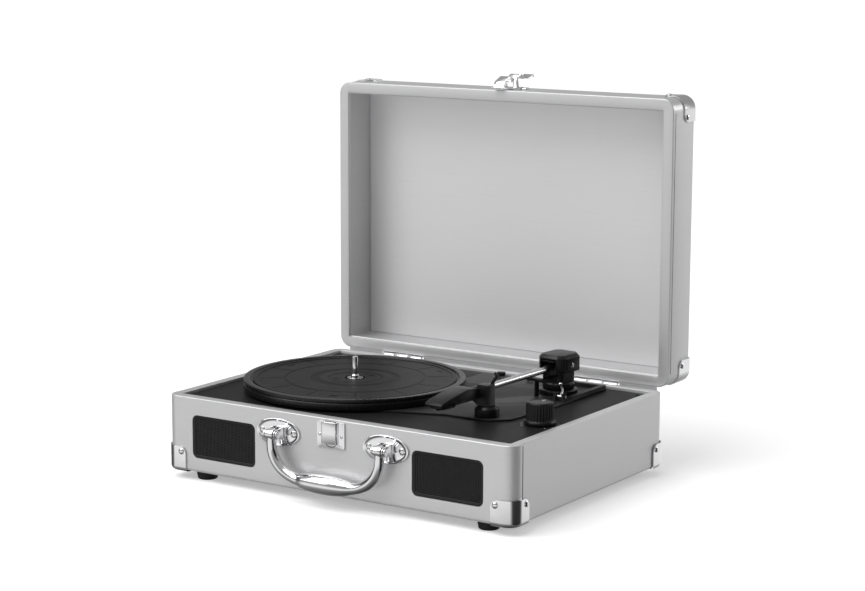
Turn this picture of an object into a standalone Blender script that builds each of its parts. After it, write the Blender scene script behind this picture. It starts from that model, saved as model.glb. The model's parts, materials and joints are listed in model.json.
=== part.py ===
"""Suitcase record player: a portable belt-drive turntable built into a vinyl-covered case.

Metres, +Z up. X runs to the right along the front of the case and Y runs to the back.
Every piece is drawn on the case's own datum: x = 0 and y = 0 at the middle of the case and
z = 0 at the floor. The datum is then slid along Y, so that the world's origin lies on the
floor under the middle of the whole object. The lid's pieces are drawn with the lid shut and
hang from an empty on the hinge axis, which stands them open at 90 degrees.
"""
import math

import bmesh
import bpy
from mathutils import Vector

for old in list(bpy.data.objects):
    bpy.data.objects.remove(old, do_unlink=True)

# ---------------------------------------------------------------- driving dimensions

GAP = 0.0003                 # clearance between pieces that touch
RUN = 0.0003                 # radial running clearance of shafts and pins
THROUGH = 0.002              # how far a cutter runs past the faces it cuts

CASE_WIDTH = 0.355
CASE_DEPTH = 0.255
BASE_HEIGHT = 0.066
LID_HEIGHT = 0.041
WALL = 0.010
PANEL = 0.004                # base board and lid panel
CORNER_RADIUS = 0.011        # upright corners
EDGE_RADIUS = 0.003          # long edges of the base board and of the lid panel
RIM_RADIUS = 0.0012
RIM_GAP = 0.0004             # between the base rim and the shut lid

FOOT_HEIGHT = 0.008
FOOT_RADIUS = 0.010
FOOT_TAPER = 0.0015
FOOT_INSET_X = 0.0325
FOOT_INSET_Y = 0.0155

GUARD_REACH = 0.0215         # how far a corner guard runs from its corner
GUARD_ROUND = 0.007          # its outline's rounded corners
GUARD_SHEET = 0.0011

HINGE_BEHIND = 0.0028        # pin axis behind the case's back face
HINGE_BELOW = 0.0018         # pin axis below the base rim
HINGE_X = 0.105
HINGE_LENGTH = 0.046
HINGE_LEAF = 0.013
HINGE_SHEET = 0.0011
KNUCKLE_RADIUS = 0.0024
HINGE_PIN_RADIUS = 0.0010

DECK_RECESS = 0.0025
DECK_SHEET = 0.003
LEDGE = 0.005
PLATE_SHEET = 0.0012
PLATE_LIP_HEIGHT = 0.0032
PLATE_LIP_WIDTH = 0.005

PLATTER_RADIUS = 0.0985
PLATTER_SIDE_GAP = 0.009     # platter edge to the left inner wall
PLATTER_FRONT_GAP = 0.010    # platter edge to the front inner wall
PLATTER_LIFT = 0.0006        # skirt above the mechanism plate
PLATTER_HEIGHT = 0.0094
SKIRT_WALL = 0.003
MAT_SHEET = 0.0011
MAT_STEP = 0.00065
LABEL_RADIUS = 0.040
RIM_DRIVE_RADIUS = 0.045
SPINDLE_RADIUS = 0.0036
SPINDLE_RISE = 0.0186        # spindle top above the platter's lip
BUSH_WALL = 0.0021

MOTOR_RADIUS = 0.016
MOTOR_HEIGHT = 0.024
MOTOR_DISTANCE = 0.070
MOTOR_ANGLE = 135.0
PULLEY_RADIUS = 0.006
BELT_SHEET = 0.0007
BELT_WIDTH = 0.0028

ARM_FROM_SIDE = 0.0675       # swing axis to the right inner wall
ARM_FROM_BACK = 0.0435       # swing axis to the back inner wall
ARM_PARK_TURN = -6.5         # degrees the parked arm is turned from straight ahead
ARM_AXIS_RISE = 0.0255       # lift axis above the deck
ARM_TUBE_RADIUS = 0.003
ARM_TUBE_LENGTH = 0.126
ARM_DROOP = 0.032            # fall of the tube for each metre along it
YOKE_WIDTH = 0.028
YOKE_FRONT = 0.015
YOKE_BACK = 0.017
YOKE_TOP = 0.0115            # above the lift axis
YOKE_CHANNEL = 0.016
COLLAR_RADIUS = 0.017
COLLAR_HEIGHT = 0.0042
TURRET_RADIUS = 0.014
TURRET_HEIGHT = 0.006
TURRET_SHAFT = 0.006
HEAD_LENGTH = 0.050
HEAD_WIDTH = 0.018
COUNTERWEIGHT_RADIUS = 0.0062
COUNTERWEIGHT_LENGTH = 0.013

REST_BEHIND_HEAD = 0.012     # arm rest's middle to the end of the arm tube
REST_ASIDE = 0.0105
REST_BASE_RADIUS = 0.0105
REST_BASE_HEIGHT = 0.0085
REST_POST = 0.010
CLIP_SHEET = 0.002
CLIP_REACH = 0.0135
CLIP_TAIL = 0.0128
CLIP_ASIDE = 0.009            # clip's pin beside the parked arm

CUE_RADIUS = 0.024           # cue platform from the swing axis
CUE_TRAVEL = 0.0042
CUE_X = 0.0485               # cue lever's pivot to the right inner wall
CUE_Y = 0.0735               # cue lever's pivot to the back inner wall

KNOB_RADIUS = 0.012
KNOB_HEIGHT = 0.0190
KNOB_FROM_SIDE = 0.0205
KNOB_FROM_FRONT = 0.0805
KNOB_STEM_RADIUS = 0.003

SPEAKER_FROM_SIDE = 0.063
SPEAKER_Z = 0.032            # above the underside of the base
GRILLE_WIDTH = 0.068
GRILLE_HEIGHT = 0.0375
GRILLE_RADIUS = 0.005
GRILLE_SHEET = 0.0015
SPEAKER_RADIUS = 0.024
SPEAKER_DEPTH = 0.020

HANDLE_SPAN = 0.110
HANDLE_Z = 0.048             # pin above the underside of the base
HANDLE_OUT = 0.010           # pin in front of the case
HANDLE_ROD = 0.0040
HANDLE_GRIP = 0.0085
HANDLE_DROP = 0.0358
HANDLE_PIN = 0.002
HANDLE_PLATE_WIDTH = 0.046
HANDLE_PLATE_HEIGHT = 0.024
HANDLE_PLATE_SHEET = 0.0014
EYE_WIDTH = 0.008
EYE_RADIUS = 0.0048
EAR_SHEET = 0.0022

KEEPER_WIDTH = 0.028
KEEPER_HEIGHT = 0.0235
KEEPER_SHEET = 0.0010
KEEPER_BOX_WIDTH = 0.015
KEEPER_BOX_HEIGHT = 0.019
KEEPER_BOX_DEPTH = 0.0049
LATCH_UP = 0.0195            # latch pin above the lid's rim
LATCH_OUT = 0.0085           # latch pin in front of the lid
LATCH_TAIL = 0.035
LATCH_WIDTH = 0.010
LATCH_SHEET = 0.0011
LATCH_PLATE_WIDTH = 0.033
LATCH_PLATE_HEIGHT = 0.017

JACK_PANEL_WIDTH = 0.074
JACK_PANEL_HEIGHT = 0.024
JACK_PANEL_SHEET = 0.0012
JACK_PANEL_X = 0.085
JACK_PITCH = 0.016

# ------------------------------------------------------------------- derived levels

UNDERSIDE = FOOT_HEIGHT
RIM = UNDERSIDE + BASE_HEIGHT
LID_RIM = RIM + RIM_GAP
LID_TOP = LID_RIM + LID_HEIGHT
DECK_TOP = RIM - DECK_RECESS
DECK_LOW = DECK_TOP - DECK_SHEET
PLATE_LOW = DECK_TOP + GAP
PLATE_TOP = PLATE_LOW + PLATE_SHEET
HALF_WIDTH = CASE_WIDTH / 2
HALF_DEPTH = CASE_DEPTH / 2
INNER_X = HALF_WIDTH - WALL
INNER_Y = HALF_DEPTH - WALL

HINGE = Vector((0, HALF_DEPTH + HINGE_BEHIND, RIM - HINGE_BELOW + RIM_GAP / 2))
PLATTER = Vector((-INNER_X + PLATTER_SIDE_GAP + PLATTER_RADIUS,
                  -INNER_Y + PLATTER_FRONT_GAP + PLATTER_RADIUS, 0))
ARM = Vector((INNER_X - ARM_FROM_SIDE, INNER_Y - ARM_FROM_BACK, 0))
LIFT = ARM + Vector((0, 0, DECK_TOP + ARM_AXIS_RISE))
KNOB = Vector((INNER_X - KNOB_FROM_SIDE, -INNER_Y + KNOB_FROM_FRONT, 0))
CUE = Vector((INNER_X - CUE_X, INNER_Y - CUE_Y, PLATE_TOP + 0.004))
LATCH = Vector((0, -HALF_DEPTH - LATCH_OUT, LID_RIM + LATCH_UP))
HANDLE = Vector((0, -HALF_DEPTH - HANDLE_OUT, UNDERSIDE + HANDLE_Z))
SPEAKER_X = HALF_WIDTH - SPEAKER_FROM_SIDE
SKIRT_LOW = PLATE_TOP + PLATTER_LIFT
PLATTER_TOP = SKIRT_LOW + PLATTER_HEIGHT
SEAT = PLATTER_TOP - 0.0018
DISC_LOW = SEAT - 0.0022
MAT_TOP = SEAT + GAP + MAT_SHEET
PULLEY = PLATTER + MOTOR_DISTANCE * Vector((math.cos(math.radians(MOTOR_ANGLE)),
                                            math.sin(math.radians(MOTOR_ANGLE)), 0))
REST_ALONG = ARM_TUBE_LENGTH - REST_BEHIND_HEAD
CLIP_PIN = Vector((CLIP_ASIDE, 0, LIFT.z))
CLIP_PIN.y = -REST_ALONG + REST_POST / 2 + GAP + CLIP_SHEET / 2

FRONT_REACH = HALF_DEPTH + HANDLE_OUT + HANDLE_GRIP
BACK_REACH = HINGE.y + LATCH.z - HINGE.z + LATCH_TAIL
DATUM_Y = (FRONT_REACH - BACK_REACH) / 2


# ------------------------------------------------------------------------ materials

def finish(name, colour, roughness, metallic):
    material = bpy.data.materials.new(name)
    material.use_nodes = True
    shader = material.node_tree.nodes["Principled BSDF"]
    shader.inputs["Base Color"].default_value = (*colour, 1)
    shader.inputs["Roughness"].default_value = roughness
    shader.inputs["Metallic"].default_value = metallic
    return material


VINYL = finish("silver vinyl", (0.62, 0.62, 0.63), 0.42, 0.35)
LINING = finish("grey lining", (0.50, 0.50, 0.51), 0.5, 0.2)
BOARD = finish("base board", (0.05, 0.05, 0.05), 0.7, 0.0)
RUBBER = finish("black rubber", (0.02, 0.02, 0.02), 0.7, 0.0)
CHROME = finish("chrome", (0.80, 0.80, 0.81), 0.08, 1.0)
GRILLE = finish("black grille", (0.02, 0.02, 0.02), 0.4, 0.5)
DECK = finish("black deck", (0.03, 0.03, 0.03), 0.45, 0.0)
PLATE = finish("dark plate", (0.05, 0.05, 0.055), 0.4, 0.0)
BLACK = finish("black plastic", (0.025, 0.025, 0.025), 0.35, 0.0)
MAT = finish("platter mat", (0.06, 0.06, 0.06), 0.6, 0.0)
STEEL = finish("steel", (0.6, 0.6, 0.6), 0.3, 1.0)
BRASS = finish("brass", (0.7, 0.5, 0.2), 0.3, 1.0)
CONE = finish("speaker cone", (0.03, 0.03, 0.03), 0.8, 0.0)
CIRCUIT = finish("circuit board", (0.03, 0.20, 0.08), 0.5, 0.0)


# --------------------------------------------------------------- datum and joint axes

def empty(name, place, parent=None):
    """An empty at a place given on the case's datum, hung from another empty."""
    marker = bpy.data.objects.new(name, None)
    bpy.context.scene.collection.objects.link(marker)
    marker["home"] = tuple(place)
    if parent:
        marker.parent = parent
        marker.location = Vector(place) - Vector(parent["home"])
    return marker


datum = empty("datum", (0, 0, 0))
datum.location.y = DATUM_Y
lid_axis = empty("lid_axis", HINGE, datum)
lid_axis.rotation_euler.x = -math.pi / 2
latch_axis = empty("latch_axis", LATCH, lid_axis)
handle_axis = empty("handle_axis", HANDLE, datum)
platter_axis = empty("platter_axis", PLATTER, datum)
pulley_axis = empty("pulley_axis", PULLEY, datum)
knob_axis = empty("knob_axis", KNOB, datum)
swing_axis = empty("swing_axis", ARM, datum)
swing_axis.rotation_euler.z = math.radians(ARM_PARK_TURN)
lift_axis = empty("lift_axis", LIFT, swing_axis)
arm_line = empty("arm_line", ARM, datum)
arm_line.rotation_euler.z = math.radians(ARM_PARK_TURN)
clip_axis = empty("clip_axis", ARM + CLIP_PIN, arm_line)
cue_axis = empty("cue_axis", CUE, datum)


# --------------------------------------------------------------------- shape helpers

def settle(obj, parent, material, smooth=True):
    """Link an object drawn on the datum, and hang it from its joint's empty."""
    bpy.context.scene.collection.objects.link(obj)
    obj.parent = parent
    obj.location = -Vector(parent["home"])
    if material:
        obj.data.materials.append(material)
    if smooth and obj.type == "MESH":
        obj.data.shade_smooth()
        obj.data.set_sharp_from_angle(angle=math.radians(35))
    return obj


def loft(name, loops, parent, material=None, ring=False):
    """Skin a row of equal loops; a ring joins its last loop to its first, or both are capped."""
    bm = bmesh.new()
    rows = [[bm.verts.new(point) for point in loop] for loop in loops]
    pairs = list(zip(rows, rows[1:]))
    if ring:
        pairs.append((rows[-1], rows[0]))
    else:
        bm.faces.new(rows[0])
        bm.faces.new(rows[-1])
    for here, there in pairs:
        for k in range(len(here)):
            j = (k + 1) % len(here)
            bm.faces.new((here[k], here[j], there[j], there[k]))
    bmesh.ops.recalc_face_normals(bm, faces=bm.faces)
    mesh = bpy.data.meshes.new(name)
    bm.to_mesh(mesh)
    bm.free()
    return settle(bpy.data.objects.new(name, mesh), parent, material)


def turned(name, profile, steps, centre, parent, material=None, along="z"):
    """Turn a profile of (radius, height) pairs; two pairs at radius 0 close it on its axis."""
    bm = bmesh.new()
    dots = [bm.verts.new((radius, 0, height)) for radius, height in profile]
    edges = [bm.edges.new(pair) for pair in zip(dots, dots[1:])]
    if profile[0][0] > 0:
        edges.append(bm.edges.new((dots[-1], dots[0])))
    bmesh.ops.spin(bm, geom=dots + edges, cent=(0, 0, 0), axis=(0, 0, 1),
                   angle=2 * math.pi, steps=steps)
    bmesh.ops.remove_doubles(bm, verts=bm.verts, dist=0.000002)
    bmesh.ops.recalc_face_normals(bm, faces=bm.faces)
    cx, cy, cz = centre
    for v in bm.verts:
        x, y, z = v.co
        if along == "z":
            v.co = (x + cx, y + cy, z + cz)
        elif along == "y":
            v.co = (x + cx, z + cy, -y + cz)
        else:
            v.co = (z + cx, y + cy, -x + cz)
    mesh = bpy.data.meshes.new(name)
    bm.to_mesh(mesh)
    bm.free()
    return settle(bpy.data.objects.new(name, mesh), parent, material)


def rod(name, radius, low, high, steps, centre, parent, material=None, along="z"):
    """A plain round bar between two heights along its axis."""
    profile = [(0, low), (radius, low), (radius, high), (0, high)]
    return turned(name, profile, steps, centre, parent, material, along)


def rounded_rect(width, depth, radius, steps=4):
    """Corner arcs of a rounded rectangle, anticlockwise from its right side."""
    points = []
    for corner, (sx, sy) in enumerate(((1, 1), (-1, 1), (-1, -1), (1, -1))):
        for k in range(steps + 1):
            turn = math.pi / 2 * (corner + k / steps)
            points.append((sx * (width / 2 - radius) + radius * math.cos(turn),
                           sy * (depth / 2 - radius) + radius * math.sin(turn)))
    return points


def case_loop(inset, height, steps=4):
    """The case's outline, drawn in by an inset, at a height."""
    radius = max(CORNER_RADIUS - inset, 0.0012)
    outline = rounded_rect(CASE_WIDTH - 2 * inset, CASE_DEPTH - 2 * inset, radius, steps)
    return [(x, y, height) for x, y in outline]


def slab(name, outline, low, high, parent, material=None, plane="xy"):
    """Push a flat outline through; the plane names the two axes that the outline is drawn on."""
    turn = {"xy": lambda a, b, c: (a, b, c),
            "xz": lambda a, b, c: (a, c, b),
            "yz": lambda a, b, c: (c, a, b)}[plane]
    loops = [[turn(a, b, level) for a, b in outline] for level in (low, high)]
    return loft(name, loops, parent, material)


def block(name, low, high, parent, material=None, bevel=0.0):
    """A box between two corners, its edges softened."""
    outline = [(low[0], low[1]), (high[0], low[1]), (high[0], high[1]), (low[0], high[1])]
    obj = slab(name, outline, low[2], high[2], parent, material)
    if bevel:
        soften(obj, bevel)
    return obj


def soften(obj, width, segments=2):
    bevel = obj.modifiers.new("edges", "BEVEL")
    bevel.width = width
    bevel.segments = segments
    bevel.limit_method = "ANGLE"
    bevel.angle_limit = math.radians(40)


def moved(outline, dx, dy):
    return [(x + dx, y + dy) for x, y in outline]


def carve(obj, tool, operation="DIFFERENCE"):
    """Cut with, add or keep a hidden tool."""
    tool.hide_render = True
    tool.display_type = "WIRE"
    boolean = obj.modifiers.new(tool.name, "BOOLEAN")
    boolean.operation = operation
    boolean.object = tool
    return obj


def tube(name, points, radius, parent, material=None, resolution=3):
    """A round bar along points, each with its share of the radius, skinned from a curve."""
    curve = bpy.data.curves.new(name, "CURVE")
    curve.dimensions = "3D"
    curve.bevel_depth = radius
    curve.bevel_resolution = resolution
    curve.use_fill_caps = True
    spline = curve.splines.new("POLY")
    spline.points.add(len(points) - 1)
    for dot, (place, share) in zip(spline.points, points):
        dot.co = (*place, 1)
        dot.radius = share
    guide = bpy.data.objects.new(name, curve)
    bm = bmesh.new()
    bm.from_mesh(guide.to_mesh())
    bmesh.ops.remove_doubles(bm, verts=bm.verts, dist=0.000002)
    bmesh.ops.recalc_face_normals(bm, faces=bm.faces)
    mesh = bpy.data.meshes.new(name)
    bm.to_mesh(mesh)
    bm.free()
    bpy.data.objects.remove(guide)
    return settle(bpy.data.objects.new(name, mesh), parent, material)


def smooth_route(knots, count):
    """Even points on a Catmull-Rom curve through (place, share) knots."""
    padded = [knots[0]] + knots + [knots[-1]]
    route = []
    for k in range(count + 1):
        t = k / count * (len(knots) - 1)
        n = min(int(t), len(knots) - 2)
        t -= n
        weights = (-t**3 + 2 * t**2 - t, 3 * t**3 - 5 * t**2 + 2,
                   -3 * t**3 + 4 * t**2 + t, t**3 - t**2)
        place = sum((Vector(padded[n + i][0]) * w / 2 for i, w in enumerate(weights)), Vector())
        share = sum(padded[n + i][1] * w / 2 for i, w in enumerate(weights))
        route.append((tuple(place), share))
    return route


def strip(path, sheet):
    """The outline of a bent sheet: its middle line thickened to both sides."""
    line = [Vector(p) for p in path]
    left, right = [], []
    for k, p in enumerate(line):
        along = (line[min(k + 1, len(line) - 1)] - line[max(k - 1, 0)]).normalized()
        across = Vector((-along.y, along.x)) * sheet / 2
        left.append(tuple(p + across))
        right.append(tuple(p - across))
    return left + right[::-1]


# ------------------------------------------------------------------- case and corners

def base_shell():
    """Four wooden walls with a rabbet that the deck rests on, holes for speakers and sockets."""
    low, high = UNDERSIDE, RIM
    ledge = DECK_LOW - GAP
    loops = [case_loop(EDGE_RADIUS, low),
             case_loop(EDGE_RADIUS * 0.3, low + EDGE_RADIUS * 0.3),
             case_loop(0, low + EDGE_RADIUS),
             case_loop(0, high - RIM_RADIUS),
             case_loop(RIM_RADIUS, high),
             case_loop(WALL - RIM_RADIUS / 2, high),
             case_loop(WALL, high - RIM_RADIUS / 2),
             case_loop(WALL, ledge),
             case_loop(WALL + LEDGE, ledge),
             case_loop(WALL + LEDGE, ledge - 0.0015),
             case_loop(WALL, ledge - 0.0030),
             case_loop(WALL, low)]
    shell = loft("base_shell", loops, datum, VINYL, ring=True)
    window = rounded_rect(GRILLE_WIDTH + 2 * GAP, GRILLE_HEIGHT + 2 * GAP, GRILLE_RADIUS)
    for side in (-1, 1):
        carve(shell, slab("speaker_window", moved(window, side * SPEAKER_X, UNDERSIDE + SPEAKER_Z),
                          -HALF_DEPTH - THROUGH, -INNER_Y + THROUGH, datum, plane="xz"))
    window = rounded_rect(JACK_PANEL_WIDTH - 0.010, JACK_PANEL_HEIGHT - 0.008, 0.002)
    carve(shell, slab("socket_window", moved(window, -JACK_PANEL_X, UNDERSIDE + SPEAKER_Z),
                      INNER_Y - THROUGH, HALF_DEPTH + THROUGH, datum, plane="xz"))


def base_bottom():
    """The base board, let in flush between the walls."""
    inset = WALL + GAP
    loops = [case_loop(inset, UNDERSIDE), case_loop(inset, UNDERSIDE + PANEL)]
    loft("base_bottom", loops, datum, BOARD)


def feet():
    for front, fy in (("front", -1), ("back", 1)):
        for side, fx in (("left", -1), ("right", 1)):
            top = UNDERSIDE - GAP
            low = FOOT_RADIUS - FOOT_TAPER
            profile = [(0, 0.002), (0.003, 0.002), (0.0035, 0), (low - 0.001, 0), (low, 0.001),
                       (FOOT_RADIUS, top), (0, top)]
            centre = (fx * (HALF_WIDTH - FOOT_INSET_X), fy * (HALF_DEPTH - FOOT_INSET_Y), 0)
            turned("foot_%s_%s" % (front, side), profile, 16, centre, datum, RUBBER)


def guards(owner, parent, flat, wall_way):
    """Pressed corner guards: a sheet over three faces of each corner, trimmed with round ends."""
    edge = EDGE_RADIUS
    reach = GUARD_REACH + 0.004

    def skin(grow):
        face = flat - wall_way * grow
        rise = [(reach, 0), (edge, 0), (edge * 0.55 - grow * 0.4, edge * 0.08),
                (edge * 0.12 - grow * 0.9, edge * 0.45), (-grow, edge + grow), (-grow, reach)]
        return [case_loop(inset, face + wall_way * along) for inset, along in rise]

    for front, fy in (("front", -1), ("back", 1)):
        for side, fx in (("left", -1), ("right", 1)):
            name = "%s_guard_%s_%s" % (owner, front, side)
            loops = skin(GAP) + skin(GAP + GUARD_SHEET)[::-1]
            guard = loft(name, loops, parent, CHROME)
            corner = (fx * HALF_WIDTH, fy * HALF_DEPTH, flat)
            trim = block("guard_trim", [c - GUARD_REACH for c in corner],
                         [c + GUARD_REACH for c in corner], parent)
            soften(trim, GUARD_ROUND, 4)
            carve(guard, trim, "INTERSECT")


def lid():
    """The lid: walls and panel in one covered shell, with a lining let into its panel."""
    top = LID_TOP
    ceiling = top - PANEL
    loops = [case_loop(WALL, ceiling),
             case_loop(WALL, LID_RIM + RIM_RADIUS / 2),
             case_loop(WALL - RIM_RADIUS / 2, LID_RIM),
             case_loop(RIM_RADIUS, LID_RIM),
             case_loop(0, LID_RIM + RIM_RADIUS),
             case_loop(0, top - EDGE_RADIUS),
             case_loop(EDGE_RADIUS * 0.3, top - EDGE_RADIUS * 0.3),
             case_loop(EDGE_RADIUS, top)]
    loft("lid_shell", loops, lid_axis, VINYL)
    inset = WALL + GAP
    loops = [case_loop(inset, ceiling - GAP - 0.0008), case_loop(inset, ceiling - GAP)]
    loft("lid_lining", loops, lid_axis, LINING)


def hinges():
    """Two butt hinges on the back face: outer knuckles and pin below, middle knuckle on the lid."""
    third = HINGE_LENGTH / 3
    barrel = HALF_DEPTH + GAP
    for side, fx in (("left", -1), ("right", 1)):
        x = fx * HINGE_X
        low = block("hinge_base_" + side, (x - HINGE_LENGTH / 2, barrel, HINGE.z - HINGE_LEAF),
                    (x + HINGE_LENGTH / 2, barrel + HINGE_SHEET, HINGE.z), datum, CHROME)
        centre = (x, HINGE.y, HINGE.z)
        carve(low, rod("lid_knuckle_room", KNUCKLE_RADIUS + GAP, -third / 2 - GAP,
                       third / 2 + GAP, 12, centre, datum, along="x"))
        for end in (-1, 1):
            a, b = sorted((end * HINGE_LENGTH / 2, end * (third / 2 + GAP)))
            carve(low, rod("knuckle", KNUCKLE_RADIUS, a, b, 12, centre, datum, along="x"),
                  "UNION")
        pin = HINGE_LENGTH / 2 + 0.0008
        carve(low, rod("hinge_pin", HINGE_PIN_RADIUS, -pin, pin, 8, centre, datum, along="x"),
              "UNION")
        top = block("hinge_lid_" + side, (x - HINGE_LENGTH / 2, barrel, HINGE.z + GAP),
                    (x + HINGE_LENGTH / 2, barrel + HINGE_SHEET, HINGE.z + HINGE_LEAF),
                    lid_axis, CHROME)
        for end in (-1, 1):
            a, b = sorted((end * (HINGE_LENGTH / 2 + THROUGH), end * third / 2))
            carve(top, rod("base_knuckle_room", KNUCKLE_RADIUS + GAP, a, b, 12, centre,
                           lid_axis, along="x"))
        carve(top, rod("middle_knuckle", KNUCKLE_RADIUS, -third / 2, third / 2, 12, centre,
                       lid_axis, along="x"), "UNION")
        carve(top, rod("pin_bore", HINGE_PIN_RADIUS + RUN, -third, third, 8, centre,
                       lid_axis, along="x"))


# --------------------------------------------------------------- handle, latch, grilles

def handle():
    """A cast carrying handle with an eye at each end, hung on the pins of two oval plates."""
    half = HANDLE_SPAN / 2
    drop = HANDLE_DROP
    neck = 0.95 * EYE_WIDTH / 2 / HANDLE_ROD
    flow = ((0.0, 0.0, neck), (0.003, 0.22, neck), (0.012, 0.45, 1.0), (-0.03, 0.70, 1.02),
            (-0.13, 0.86, 1.12), (-0.30, 0.955, 1.45), (-0.50, 0.985, 1.80), (-0.72, 0.995, 2.03))
    grip = HANDLE_GRIP / HANDLE_ROD
    knots = []
    for out, fall, share in flow:
        place = (-half * (1 + out), HANDLE.y, HANDLE.z - drop * fall)
        knots.append((place, min(share, grip)))
    middle = [((0, HANDLE.y, HANDLE.z - drop), grip)]
    other = [((-x, y, z), share) for (x, y, z), share in reversed(knots)]
    route = smooth_route(knots + middle + other, 30)
    bail = tube("handle_bail", route, HANDLE_ROD, handle_axis, resolution=2)
    grip_body = rod("carry_handle", EYE_RADIUS, -EYE_WIDTH / 2, EYE_WIDTH / 2, 20,
                    (-half, HANDLE.y, HANDLE.z), handle_axis, CHROME, "x")
    carve(grip_body, rod("far_eye", EYE_RADIUS, -EYE_WIDTH / 2, EYE_WIDTH / 2, 20,
                         (half, HANDLE.y, HANDLE.z), handle_axis, along="x"), "UNION")
    carve(grip_body, bail, "UNION")
    for fx in (-1, 1):
        carve(grip_body, rod("eye_bore", HANDLE_PIN + RUN, -EYE_WIDTH, EYE_WIDTH, 16,
                             (fx * half, HANDLE.y, HANDLE.z), handle_axis, along="x"))

    face = -HALF_DEPTH - GAP
    for side, fx in (("left", -1), ("right", 1)):
        oval = []
        for k in range(28):
            turn = 2 * math.pi * k / 28
            oval.append((fx * half + HANDLE_PLATE_WIDTH / 2 * math.cos(turn),
                         HANDLE.z + HANDLE_PLATE_HEIGHT / 2 * math.sin(turn)))
        plate = slab("handle_plate_" + side, oval, face - HANDLE_PLATE_SHEET, face, datum,
                     CHROME, "xz")
        ear_in = EYE_WIDTH / 2 + GAP
        ear = [(face, HANDLE.z - 0.005), (HANDLE.y - 0.003, HANDLE.z - 0.0035),
               (HANDLE.y - 0.0042, HANDLE.z), (HANDLE.y - 0.003, HANDLE.z + 0.0035),
               (face, HANDLE.z + 0.005)]
        for end in (-1, 1):
            a, b = sorted((fx * half + end * ear_in, fx * half + end * (ear_in + EAR_SHEET)))
            carve(plate, slab("ear", ear, a, b, datum, plane="yz"), "UNION")
        reach = ear_in + EAR_SHEET
        carve(plate, rod("eye_pin", HANDLE_PIN, -reach, reach, 16,
                         (fx * half, HANDLE.y, HANDLE.z), datum, along="x"), "UNION")


def keeper():
    """The latch's keeper: a plate with a pocket, open at the top, that takes the latch's lip."""
    face = -HALF_DEPTH - GAP
    top = RIM - 0.0015
    middle = top - KEEPER_HEIGHT / 2
    outline = moved(rounded_rect(KEEPER_WIDTH, KEEPER_HEIGHT, 0.002, 3), 0, middle)
    plate = slab("latch_keeper", outline, face - KEEPER_SHEET, face, datum, CHROME, "xz")
    half = KEEPER_BOX_WIDTH / 2
    out = -HALF_DEPTH - KEEPER_BOX_DEPTH
    pocket = block("pocket", (-half, out, top - KEEPER_BOX_HEIGHT), (half, face - 0.0004, top),
                   datum, bevel=0.0008)
    carve(plate, pocket, "UNION")
    wall = 0.0010
    room = block("pocket_room", (-half + wall, out + wall, top - KEEPER_BOX_HEIGHT + wall),
                 (half - wall, face - KEEPER_SHEET, top + THROUGH), datum)
    carve(plate, room)


def latch():
    """The lid's latch: a riveted bracket with two ears, and a sprung rocker on its pin."""
    face = -HALF_DEPTH - GAP
    outline = moved(rounded_rect(LATCH_PLATE_WIDTH, LATCH_PLATE_HEIGHT, 0.003, 3), 0, LATCH.z)
    plate = slab("latch_bracket", outline, face - LATCH_SHEET, face, lid_axis, CHROME, "xz")
    ear_in = LATCH_WIDTH / 2 + GAP
    ear = [(face, LATCH.z - 0.005), (LATCH.y - 0.0026, LATCH.z - 0.002),
           (LATCH.y - 0.0026, LATCH.z + 0.002), (face, LATCH.z + 0.005)]
    for end in (-1, 1):
        a, b = sorted((end * ear_in, end * (ear_in + 0.0015)))
        carve(plate, slab("latch_ear", ear, a, b, lid_axis, plane="yz"), "UNION")
    reach = ear_in + 0.0015
    centre = tuple(LATCH)
    carve(plate, rod("latch_pin", 0.0011, -reach, reach, 12, centre, lid_axis, along="x"),
          "UNION")

    flow = ((-0.0250, 0.0062), (-0.0203, 0.0062), (-0.0193, 0.0025), (-0.0180, 0.0010),
            (-0.0085, -0.0030), (-0.0040, -0.0014), (0, -0.0004), (0.0040, -0.0002),
            (0.0070, -0.0034), (0.0100, -0.0040), (0.0130, -0.0036), (0.0160, -0.0004),
            (0.0260, 0.0003), (LATCH_TAIL - 0.0055, -0.0008),
            (LATCH_TAIL - 0.0022, -0.0026), (LATCH_TAIL - LATCH_SHEET / 2, -0.0012))
    path = [(LATCH.y + out, LATCH.z + up) for up, out in flow]
    half = LATCH_WIDTH / 2
    rocker = slab("latch_lever", strip(path, LATCH_SHEET), -half, half, latch_axis, CHROME, "yz")
    carve(rocker, rod("latch_barrel", 0.0024, -half, half, 14, centre, latch_axis, along="x"),
          "UNION")
    carve(rocker, rod("latch_bore", 0.0011 + RUN, -half - THROUGH, half + THROUGH, 12, centre,
                      latch_axis, along="x"))


def speakers():
    """A perforated grille in each window of the front wall, with a small speaker behind."""
    for side, fx in (("left", -1), ("right", 1)):
        outline = moved(rounded_rect(GRILLE_WIDTH, GRILLE_HEIGHT, GRILLE_RADIUS),
                        fx * SPEAKER_X, UNDERSIDE + SPEAKER_Z)
        front = -HALF_DEPTH + GAP
        slab("speaker_grille_" + side, outline, front, front + GRILLE_SHEET, datum, GRILLE, "xz")
        r, d = SPEAKER_RADIUS, SPEAKER_DEPTH
        profile = [(0, 0.006), (0.006, 0.005), (0.0085, 0.007), (r * 0.80, 0.0012), (r, 0),
                   (r, 0.002), (r * 0.86, 0.0035), (0.012, d * 0.55), (0.012, d), (0, d)]
        turned("speaker_" + side, profile, 16,
               (fx * SPEAKER_X, -INNER_Y + GAP, UNDERSIDE + SPEAKER_Z), datum, CONE, "y")


# ------------------------------------------------------------------- deck and drive

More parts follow.
